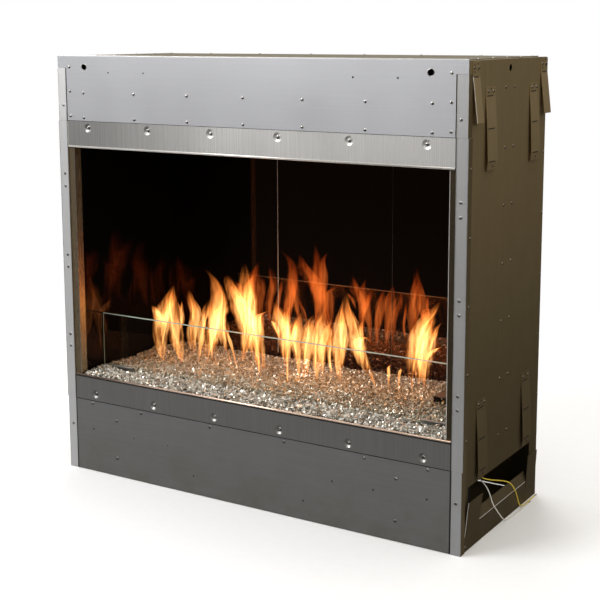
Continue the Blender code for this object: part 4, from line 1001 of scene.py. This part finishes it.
def flame_sheets(random, table, facing, fullness, rows=24, columns=9):
    """spine(v) + w(v) u across + c (1 - u^2) w(v) outward, for u from -1 to 1 and v from 0 to 1."""
    v = np.linspace(0, 1, rows)
    u = np.linspace(-1, 1, columns)[None, None, :]
    up = v[None, :, None]
    none = np.zeros(len(table))
    spine_x = cubic(v, table[:, [1, 3, 6, 9]])[:, :, None]
    spine_z = cubic(v, table[:, [2, 4, 7, 10]])[:, :, None]
    widths = np.stack([none, table[:, 5], table[:, 8], none], axis=1)
    wide = fullness * cubic(v, widths).clip(0)[:, :, None]
    curl, sway = (random.uniform(-1, 1, (len(table), 1, 1)) for _ in range(2))
    turn = facing + 0.35 * curl * up
    depth = 0.45 * (1 - u**2) * wide * np.sign(curl)
    lean = 0.010 * sway * up ** 1.5
    flick = 0.16 * (spine_z - spine_z[:, :1]) * (1 - up) * np.sin(6.5 * up + 3 * sway)
    wide = wide * (1 + 0.35 * up * np.sin(9.0 * up + 5 * sway + 2.1 * u))
    x = spine_x + flick * up + wide * u * np.cos(turn) - depth * np.sin(turn)
    y = table[:, 0, None, None] + lean + wide * u * np.sin(turn) + depth * np.cos(turn)
    points = np.stack([x, y, spine_z + 0 * x], axis=-1)
    shift = rows * columns * np.arange(len(table))[:, None, None]
    faces = grid_faces(rows, columns)[None] + shift
    across, rise = (np.broadcast_to(a, x.shape) for a in ((u + 1) / 2, up))
    places = np.stack([across, rise], axis=-1)
    return points.reshape(-1, 3), faces.reshape(-1, 4), places.reshape(-1, 2)


def with_uv(made, name, places):
    """A UV map from one (u, v) for each point of the mesh."""
    corners = np.empty(len(made.data.loops), np.int32)
    made.data.loops.foreach_get("vertex_index", corners)
    layer = made.data.uv_layers.new(name=name)
    layer.data.foreach_set("uv", places[corners].astype(np.float32).ravel())


for name, facing, seed, fullness in (
    ("flames_broad", YAW, 8, 1.18),
    ("flames_inner", YAW - 0.25, 9, 0.75),
    ("flames_cross", YAW + 1.45, 8, 1.0),
):
    points, faces, places = flame_sheets(np.random.default_rng(seed), BLADES, facing, fullness)
    with_uv(piece(name, points, faces, FLAME, smooth=True), "blade", places)
SCENE.cycles.transparent_max_bounces = 24
print("flame blades", len(BLADES))

# %% Firelight
FIRE_POWER, FIRE_COLOUR, FIRE_SIZE = 0.30, (1.0, 0.52, 0.22), 0.04
for x, y, z, watts in (
    (-0.34, 0.0, 0.30, 1.1), (-0.18, 0.01, 0.32, 1.8), (0.0, 0.0, 0.29, 1.2),
    (0.13, 0.0, 0.32, 1.6), (0.29, 0.01, 0.31, 1.4),
):
    glow = bpy.data.lights.new("firelight", "POINT")
    glow.energy, glow.color, glow.shadow_soft_size = FIRE_POWER * watts, FIRE_COLOUR, FIRE_SIZE
    lamp = bpy.data.objects.new("firelight", glow)
    lamp.location = (x, y, z)
    lamp.visible_camera = lamp.visible_glossy = lamp.visible_transmission = False
    SCENE.collection.objects.link(lamp)

# %% [markdown]
# ## Screws
#
# A casing like this is held by nearly two hundred pan head screws. One head is a profile turned
# round its axis: a rim, a dome, and a recess whose ring is pushed in and out four times a turn,
# which makes a cross. The head is worked out once, then a table of places copies it in one array
# sum. Every head is turned by its own random angle, as a hand-driven screw is.

# %% One screw head, and copies of a shape
HEAD_RADIUS = 0.0042


def screw_head(sides=12):
    """Rings (r, z) round the axis, closed at both ends. The recess rings have r(t) in a cross."""
    t = np.linspace(0, 2 * np.pi, sides, endpoint=False)
    cross = 0.5 + 0.5 * np.cos(4 * t)
    rings = [(1.0, -0.06), (1.0, 0.16), (0.78, 0.40)]
    rings += [(0.16 + 0.30 * cross, 0.50), (0.10 + 0.14 * cross, 0.24)]
    ring = [np.stack([r * np.cos(t), r * np.sin(t), z + 0 * t], axis=-1) for r, z in rings]
    ends = np.array([[[0, 0, z]] * sides for z in (rings[0][1], rings[-1][1])]) + 1e-4 * ring[0]
    points = np.concatenate([ends[0], *ring, ends[1]])
    return HEAD_RADIUS * points, grid_faces(len(ring) + 2, sides, round_columns=True)


def facing_frame(normal):
    """Three unit rows: two across a face, then its normal."""
    normal = np.asarray(normal, float)
    across = np.cross((0.0, 0.0, 1.0) if abs(normal[2]) < 0.9 else (0.0, 1.0, 0.0), normal)
    across /= np.linalg.norm(across)
    return np.stack([across, np.cross(normal, across), normal])


def copies(shape, spots, normal, turns=None, sizes=1.0):
    """spot + size * (shape turned about its axis, its z along the normal), for every spot."""
    points, faces = shape
    spots = np.atleast_2d(spots)
    turns = np.zeros(len(spots)) if turns is None else turns
    c, s = np.cos(turns)[:, None], np.sin(turns)[:, None]
    x, y, z = points.T
    high = np.broadcast_to(z, (len(spots), len(z)))
    turned = np.stack([c * x - s * y, s * x + c * y, high], axis=-1)
    sizes = np.broadcast_to(np.asarray(sizes, float), (len(spots),))[:, None, None]
    placed = spots[:, None] + sizes * (turned @ facing_frame(normal))
    shift = len(points) * np.arange(len(spots))[:, None, None]
    return placed.reshape(-1, 3), (faces[None] + shift).reshape(-1, faces.shape[1])


def joined(parts):
    """Several (points, faces) as one."""
    counts = np.cumsum([0] + [len(points) for points, _ in parts[:-1]])
    faces = np.concatenate([f + n for (_, f), n in zip(parts, counts)])
    return np.concatenate([points for points, _ in parts]), faces


# %% [markdown]
# The tables below hold places in millimetres, two numbers each: x and z on the front and the
# rear, y and z on the sides, x and y on the lid. A place on one side has its twin on the other.

# %% Where the screws sit
FRONT_Y, POST_X, WALL_X, TOP_Z, REAR_Y = -0.197, 0.4955, 0.4919, 0.9434, 0.197
UPPER_GRID = [(x, z) for x in (0, 140.5, 281, 422) for z in (864, 810)]
UPPER_ENDS = [(460, 920), (460, 867), (460, 813), (480, 836)]
POST_SCREWS = [(482, z) for z in (684, 656, 500, 472, 316, 289, 105)]
LOWER_SCREWS = [(353, 130), (353, 43), (94, 160), (282, 160), (422, 161)]
WALL_ROWS = [(y, z) for y in (-18.5, 23) for z in (888, 772, 659, 543.5, 427.4, 310.5, 193.3)]
WALL_EDGE = [(187.5, z) for z in (747, 620, 488, 358, 227)] + [(-171, 9)]
RETURN_SCREWS = [(-183, z) for z in (745, 617, 487, 356, 226)]
STANDOFF_FEET = [(y, 883.5) for y in (-107, -82, 112, 137)]
STANDOFF_FEET += [(y, 283.5) for y in (-123, -98, 105, 130)]
TOP_FEET = [(y, 929) for y in (-171, -153, 167, 188)]
TOP_EDGE = [(466, y) for y in (-165, -95, -25, 45, 115, 178)]
TOP_EDGE += [(x, y) for y in (183, -176) for x in (70, 210, 350)]
REAR_EDGE = [(x, z) for x in (0, 160, 320, 470) for z in (922, 20)]
REAR_EDGE += [(472, z) for z in (150, 290, 430, 570, 710, 850)]
FRONTWARD, UPWARD, REARWARD = (0, -1, 0), (0, 0, 1), (0, 1, 0)
STANDOFF_SKIN, DIMPLE_FLOOR_IN = 0.0014, 0.0028


def mirrored(table):
    """Each (a, b) in metres, and (-a, b) too unless a is 0."""
    table = np.asarray(table, float) / 1000
    return np.concatenate([table, (table * (-1, 1))[table[:, 0] != 0]])


def on_face(table, axis, level):
    """(a, b) pairs as points: the given axis holds the level, the other two hold a and b."""
    return np.insert(table, axis, level, axis=1)


# %% Screws on every face
SCREW = steel_sheet(
    "zinc plated screw", (0.58, 0.57, 0.55), (0.36, 0.35, 0.34), even(900.0), 0.6, 0.8, 0.26, 0.95
)
# A darker, browner copy of the zinc screw for the flanks and the rear: painted shade.
SHADED_SCREW = steel_sheet(
    "zinc screw in painted shade", (0.30, 0.27, 0.22), (0.15, 0.13, 0.10), even(900.0), 0.6, 0.8, 0.32, 0.9
)
head = screw_head()
random = np.random.default_rng(3)


def screws(name, groups, finish, size=1.0):
    """One piece with a head at each spot. groups lists (spots, normal)."""
    made = [
        copies(head, spots, normal, random.uniform(0, 1.6, len(spots)), size)
        for spots, normal in groups
    ]
    piece(name, *joined(made), finish)


front = mirrored(UPPER_GRID + UPPER_ENDS + POST_SCREWS + LOWER_SCREWS)
screws("facing_screws", [(on_face(front, Y, FRONT_Y), FRONTWARD)], SCREW, 0.80)
dimple = mirrored([(x, z) for x in (82.3, 246.0, 411.5) for z in (788, 184)])
sunk = on_face(dimple, Y, FRONT_Y + DIMPLE_FLOOR_IN)
screws("dimple_screws", [(sunk, FRONTWARD)], SCREW, 0.98)

wall = np.array(WALL_ROWS + WALL_EDGE) / 1000
feet = np.array(STANDOFF_FEET + TOP_FEET) / 1000
returns = np.array(RETURN_SCREWS) / 1000
sides = []
for s in (-1, 1):
    for table, level in ((wall, WALL_X), (feet, WALL_X + STANDOFF_SKIN), (returns, POST_X)):
        sides.append((on_face(table, X, s * level), (s, 0, 0)))
screws("side_screws", sides, SHADED_SCREW, 0.80)
top = mirrored(TOP_EDGE)
screws("top_screws", [(on_face(top, Z, TOP_Z), UPWARD)], SCREW, 0.75)
screws("rear_screws", [(on_face(mirrored(REAR_EDGE), Y, REAR_Y), REARWARD)], SHADED_SCREW, 0.85)

# %% [markdown]
# ## Open holes
#
# The facing also has pilot holes with no screw in them, and the stand-offs have holes in their
# feet. Seen from outside an open hole is a dark round spot, in the facing with a thin
# bright edge where the punch rolled the sheet. Each is a shallow cup, a turned profile, in near
# black: the painted shade inside the hole. The bright edge is a flattened ring round it.

# %% Punched holes
# Near black for holes, slots and seams: painted shade.
PAINTED_SHADE = moulded("painted shade in holes and seams", (0.012, 0.011, 0.010), (0.006, 0.006, 0.005), 0.7, 300.0)


def ring_profile(rings, sides):
    """A closed turned shape: (r, z) rings carried round, first and last drawn to the axis."""
    t = np.linspace(0, 2 * np.pi, sides, endpoint=False)
    rings = [(1e-5, rings[0][1]), *rings, (1e-5, rings[-1][1])]
    circles = [np.stack([r * np.cos(t), r * np.sin(t), z + 0 * t], axis=-1) for r, z in rings]
    return np.concatenate(circles), grid_faces(len(rings), sides, round_columns=True)


def torus(major, minor, sides, around=6):
    """((R + r cos p) cos t, (R + r cos p) sin t, r sin p / 2): a ring rolled flat."""
    t = np.linspace(0, 2 * np.pi, sides, endpoint=False)[:, None]
    p = np.linspace(0, 2 * np.pi, around, endpoint=False)[None, :]
    r = major + minor * np.cos(p)
    points = np.stack([r * np.cos(t), r * np.sin(t), 0.5 * minor * np.sin(p) + 0 * t], axis=-1)
    return points.reshape(-1, 3), grid_faces(sides, around, True, True)


cup = ring_profile([(1.0, -0.05), (1.0, 0.03), (0.9, 0.045)], 12)
rim = torus(1.06, 0.16, 14)
OPEN_HOLES = [(350, 909), (254, 909), (209, 97.5), (303, 97.5), (140, 42), (421, 101)]
open_holes = on_face(mirrored(OPEN_HOLES), Y, FRONT_Y)
foot_holes = np.array([(-94.5, 888.5), (124.5, 888.5), (-110.5, 288.5), (117.5, 288.5)]) / 1000
small = [copies(cup, open_holes, FRONTWARD, sizes=0.0019)]
for s in (-1, 1):
    spots = on_face(foot_holes, X, s * (WALL_X + STANDOFF_SKIN))
    small.append(copies(cup, spots, (s, 0, 0), sizes=0.0022))
piece("punched_holes", *joined(small), PAINTED_SHADE)
piece("punched_rims", *copies(rim, open_holes, FRONTWARD, sizes=0.0019), SCREW, smooth=True)
hang = on_face(mirrored([(418, 920)]), Y, FRONT_Y)
hang_rim = torus(0.0069, 0.0007, 28, 8)
piece("hanging_hole_rims", *copies(hang_rim, hang, FRONTWARD), SCREW, smooth=True)

# %% [markdown]
# ## The knock-out on the lid
#
# Near the front left of the lid is a round knock-out for a cable, with a star-shaped push nut in
# its middle. The blank is a turned disc with a pressed groove round it. The star is the same
# kind of disc with its radius waving eight times a turn.

# %% Knock-out blank and push nut
def waved_disc(rings, sides, waves, depth):
    """Turned rings whose radius is r (1 + depth cos(waves t))."""
    points, faces = ring_profile(rings, sides)
    t = np.arctan2(points[:, 1], points[:, 0])
    points[:, :2] *= (1 + depth * np.cos(waves * t))[:, None]
    return points, faces


KNOCKOUT_AT = (-0.372, -0.147, TOP_Z)
blank_rings = [
    (0.0262, -0.0002), (0.0262, 0.0007), (0.0248, 0.0012), (0.0236, 0.0012),
    (0.0226, 0.0003), (0.0150, 0.0003), (0.0120, 0.0008),
]
blank = copies(ring_profile(blank_rings, 48), KNOCKOUT_AT, UPWARD)
piece("knockout_blank", *blank, FINISH["top_sheet"], slot="top_sheet", smooth=True)
star_rings = [(0.0062, 0.0006), (0.0062, 0.0014), (0.0040, 0.0024), (0.0016, 0.0030)]
star = waved_disc(star_rings, 48, 8, 0.22)
piece("knockout_push_nut", *copies(star, KNOCKOUT_AT, UPWARD), SCREW, smooth=True)

# %% [markdown]
# ## Edges that catch the light
#
# A sheet's cut edge and the outside of a fold are where the eye finds the shape: they turn
# through every angle, so some part of them always mirrors a lamp. In the CAD they are sharp
# corners, which show no glint at all. Thin rods laid along them bring it back. All rods are one
# array: a ring of points round each end of each line.

# %% Rods and bars
def rods(lines, radius, sides=6):
    """end + radius (cos t across + sin t over) round both ends of each line. lines is (n, 2, 3)."""
    lines = np.asarray(lines, float)
    along = lines[:, 1] - lines[:, 0]
    along /= np.linalg.norm(along, axis=1, keepdims=True)
    helper = np.where(np.abs(along[:, 2:]) < 0.9, (0.0, 0.0, 1.0), (0.0, 1.0, 0.0))
    across = np.cross(along, helper)
    across /= np.linalg.norm(across, axis=1, keepdims=True)
    over = np.cross(along, across)
    t = np.linspace(0, 2 * np.pi, sides, endpoint=False)[None, :, None]
    ring = radius * (np.cos(t) * across[:, None] + np.sin(t) * over[:, None])
    start, end = lines[:, :1], lines[:, 1:]
    points = np.stack([start + 1e-3 * ring, start + ring, end + ring, end + 1e-3 * ring], axis=1)
    faces = grid_faces(4, sides, round_columns=True)
    shift = 4 * sides * np.arange(len(lines))[:, None, None]
    return points.reshape(-1, 3), (faces[None] + shift).reshape(-1, 4)


BOX = CUBE + 0.5
BOX_FACES = np.array(
    [[0, 1, 3, 2], [4, 6, 7, 5], [0, 4, 5, 1], [2, 3, 7, 6], [0, 2, 6, 4], [1, 5, 7, 3]]
)


def bars(lows, highs):
    """A box for each pair of corners: low + (high - low) corner."""
    lows, highs = np.atleast_2d(lows).astype(float), np.atleast_2d(highs).astype(float)
    points = lows[:, None] + (highs - lows)[:, None] * BOX[None]
    faces = BOX_FACES[None] + 8 * np.arange(len(lows))[:, None, None]
    return points.reshape(-1, 3), faces.reshape(-1, 4)


def both_sides(lines):
    """The lines and their mirror images left of the middle."""
    lines = np.asarray(lines, float)
    return np.concatenate([lines, lines * (-1, 1, 1)])


# %% Bright folds and cut edges
# The bright look is near white, lighter than the sheets these rods lie on: a painted highlight
# along the folds and edges, on top of the glint that the round rods catch.
BRIGHT_LOOK = ((0.95, 0.93, 0.90), (0.78, 0.76, 0.73), even(400.0), 0.5, 0.6, 0.30, 0.45)
BRIGHT = steel_sheet("bright fold", *BRIGHT_LOOK)
# Painted shade: the fade dims the left jamb's fold to a faint line.
JAMB_FOLD = steel_sheet("jamb fold", *BRIGHT_LOOK, fade=(X, -0.30, 0.30, 0.22, 1.0))
EDGE = steel_sheet(
    "cut edge", (0.70, 0.69, 0.68), (0.50, 0.49, 0.48), even(400.0), 0.6, 0.6, 0.30, 0.7
)
# The lip is polished. Its orange tone and the fade that brightens it to the right are a painted
# reflection of the firelight.
POLISHED_LIP_FIRELIGHT = steel_sheet(
    "polished lip with painted firelight", (0.95, 0.72, 0.58), (0.70, 0.50, 0.40), (60.0, 300.0, 300.0), 0.8, 0.8, 0.26, 0.6,
    fade=(X, -0.42, -0.20, 0.30, 1.25),
)

roll = [[(-0.4695, -0.1950, 0.7459), (0.4695, -0.1950, 0.7459)]]
piece("upper_strip_roll", *rods(roll, 0.0028, 12), BRIGHT, smooth=True)
front_edges = both_sides([
    [(0.4951, -0.1968, 0.1685), (0.4951, -0.1968, 0.8013)],
    [(0.4933, -0.1968, 0.0005), (0.4933, -0.1968, 0.1671)],
    [(0.4719, -0.1971, 0.1685), (0.4719, -0.1971, 0.8013)],
])
piece("post_edges", *rods(front_edges, 0.0006), EDGE)
corner_edges = both_sides([
    [(x, -0.1970, 0.8027), (x, -0.1970, 0.9171)] for x in (0.4933, 0.4721)
] + [[(0.4692, -0.1971, 0.7480), (0.4692, -0.1971, 0.8012)]])
lid_front = [[(-0.4930, -0.1966, 0.9446), (0.4930, -0.1966, 0.9446)]]
piece("facing_edges", *rods(np.concatenate([corner_edges, lid_front]), 0.0007), BRIGHT)
jamb = both_sides([[(0.4575, -0.1921, 0.2268), (0.4575, -0.1921, 0.7410)]])
piece("jamb_edges", *rods(jamb, 0.0008), JAMB_FOLD)
lip = [[(-0.4692, -0.1962, 0.2248), (0.4692, -0.1962, 0.2248)]]
piece("lower_strip_lip", *rods(lip, 0.0021, 12), POLISHED_LIP_FIRELIGHT, smooth=True)
lid = both_sides([
    [(0.4728, -0.1930, 0.9437), (0.4728, 0.1950, 0.9437)],
    [(0.4913, -0.1930, 0.9419), (0.4913, 0.1940, 0.9419)],
])
piece("lid_edges", *rods(lid, 0.0005), EDGE)
flank = both_sides([
    [(0.4939, -0.1783, 0.9120), (0.5042, -0.1783, 0.8285)],
    [(0.4931, -0.1773, 0.0330), (0.5003, -0.1773, 0.1028)],
    [(0.4921, -0.1340, 0.0455), (0.4921, 0.1430, 0.0455)],
])
piece("flank_edges", *rods(flank, 0.00055), BRIGHT)

# %% [markdown]
# ## Glass edges and seams
#
# Where two panes of the black lining meet, their ground edges show as a hairline. The guard's
# own edge is brighter: a pane pipes light along its inside and lets it out at the cut.

# %% Ground edges
# Painted light: the fade keeps the left seam bright and dims the right one almost to black.
GROUND = moulded(
    "ground glass edge", (0.50, 0.48, 0.50), (0.36, 0.35, 0.37), 0.30, 900.0, 0.3,
    fade=(X, -0.15, 0.15, 1.1, 0.08),
)
GREEN_EDGE = moulded("guard edge", (0.62, 0.70, 0.60), (0.44, 0.52, 0.42), 0.25, 900.0, 0.5)
seams = [[(x, 0.1667, 0.2360), (x, 0.1667, 0.7415)] for x in (-0.1525, 0.1525)]
piece("glass_seams", *rods(seams, 0.0007), GROUND)
top_edge = bars((-0.4583, -0.1117, 0.3503), (0.4583, -0.1071, 0.3516))
side_edges = rods(both_sides([[(0.4583, -0.1094, 0.2300), (0.4583, -0.1094, 0.3500)]]), 0.0009)
piece("guard_edges", *joined([top_edge, side_edges]), GREEN_EDGE, body="wind_guard")

# %% [markdown]
# ## Slots where the stand-offs bend
#
# A stand-off is bent out by hand on site, so it is slotted across most of its width at each
# fold to make it bend there and nowhere else. The slot shows as a dark dash that lies nearer the
# strip's front edge, drawn as a bar in painted shade. The foot has a nail hole, a cup in the same
# painted shade.

# %% Fold slots and nail holes
# The height of a strip's top, then where the two strips at that height start and end, in mm.
STRIP_Y = {892.0: ((-117.0, -72.0), (102.0, 147.0)), 292.0: ((-133.0, -88.0), (95.0, 140.0))}
# For each fold, how far it lies below the strip's top and how far out from the side.
FOLDS = ((17.0, 0.4), (78.0, 4.7), (140.0, 7.3))
STRIP_FOOT_X, NAIL_X, PLATE_X, NAIL_DROP = 493.35, 499.6, 493.6, 149.0
SLOT_HALF, SLOT_DEEP, SLOT_SHARE = 0.9, 1.2, 0.72
slots, nails = [], []
for s in (-1, 1):
    for high, spans in STRIP_Y.items():
        for start, end in spans:
            for drop, out in FOLDS:
                near, far = sorted((s * (STRIP_FOOT_X + out), s * (STRIP_FOOT_X + out - SLOT_DEEP)))
                low = (near, start + 4, high - drop - SLOT_HALF)
                tall = (far, start + SLOT_SHARE * (end - start), high - drop + SLOT_HALF)
                slots.append((low, tall))
            nails.append(((s * NAIL_X, (start + end) / 2, high - NAIL_DROP), s))
    for start, end in ((-178.0, -146.0), (160.0, 195.5)):
        x = s * PLATE_X
        slots.append(((min(x, x - s), start + 5, 911.2), (max(x, x - s), end - 7, 913.0)))
lows, highs = (np.array([pair[k] for pair in slots]) / 1000 for k in (0, 1))
piece("fold_slots", *bars(lows, highs), PAINTED_SHADE)
PLATE_HOLES = ((7, 934), (22, 936), (8, 921), (23, 925))
holes = []
for s in (-1, 1):
    places = np.array([spot for spot, side in nails if side == s]) / 1000
    holes.append(copies(cup, places, (s, 0, 0), sizes=0.0020))
    plate = [(y0 + y, z) for y0 in (-178, 160) for y, z in PLATE_HOLES]
    spots = on_face(np.array(plate) / 1000, X, s * PLATE_X / 1000)
    holes.append(copies(cup, spots, (s, 0, 0), sizes=0.0017))
piece("standoff_holes", *joined(holes), PAINTED_SHADE)

# %% [markdown]
# ## Shadows in the seams
#
# Sheets that meet leave a hairline of shadow between them. Thin dark bars laid in the seams of
# the front show it.

# %% Dark bars in the seams
gap_lows = [(-0.4690, -0.1973, z) for z in (0.2200, 0.1669, 0.8019)]
gap_highs = [(0.4690, -0.1966, z) for z in (0.2228, 0.1685, 0.8028)]
for s in (-1, 1):
    for low, high in ((0.0015, 0.2240), (0.7440, 0.9175)):
        gap_lows.append((min(s * 0.4691, s * 0.4716), -0.1973, low))
        gap_highs.append((max(s * 0.4691, s * 0.4716), -0.1960, high))
piece("shadow_gaps", *bars(gap_lows, gap_highs), PAINTED_SHADE)
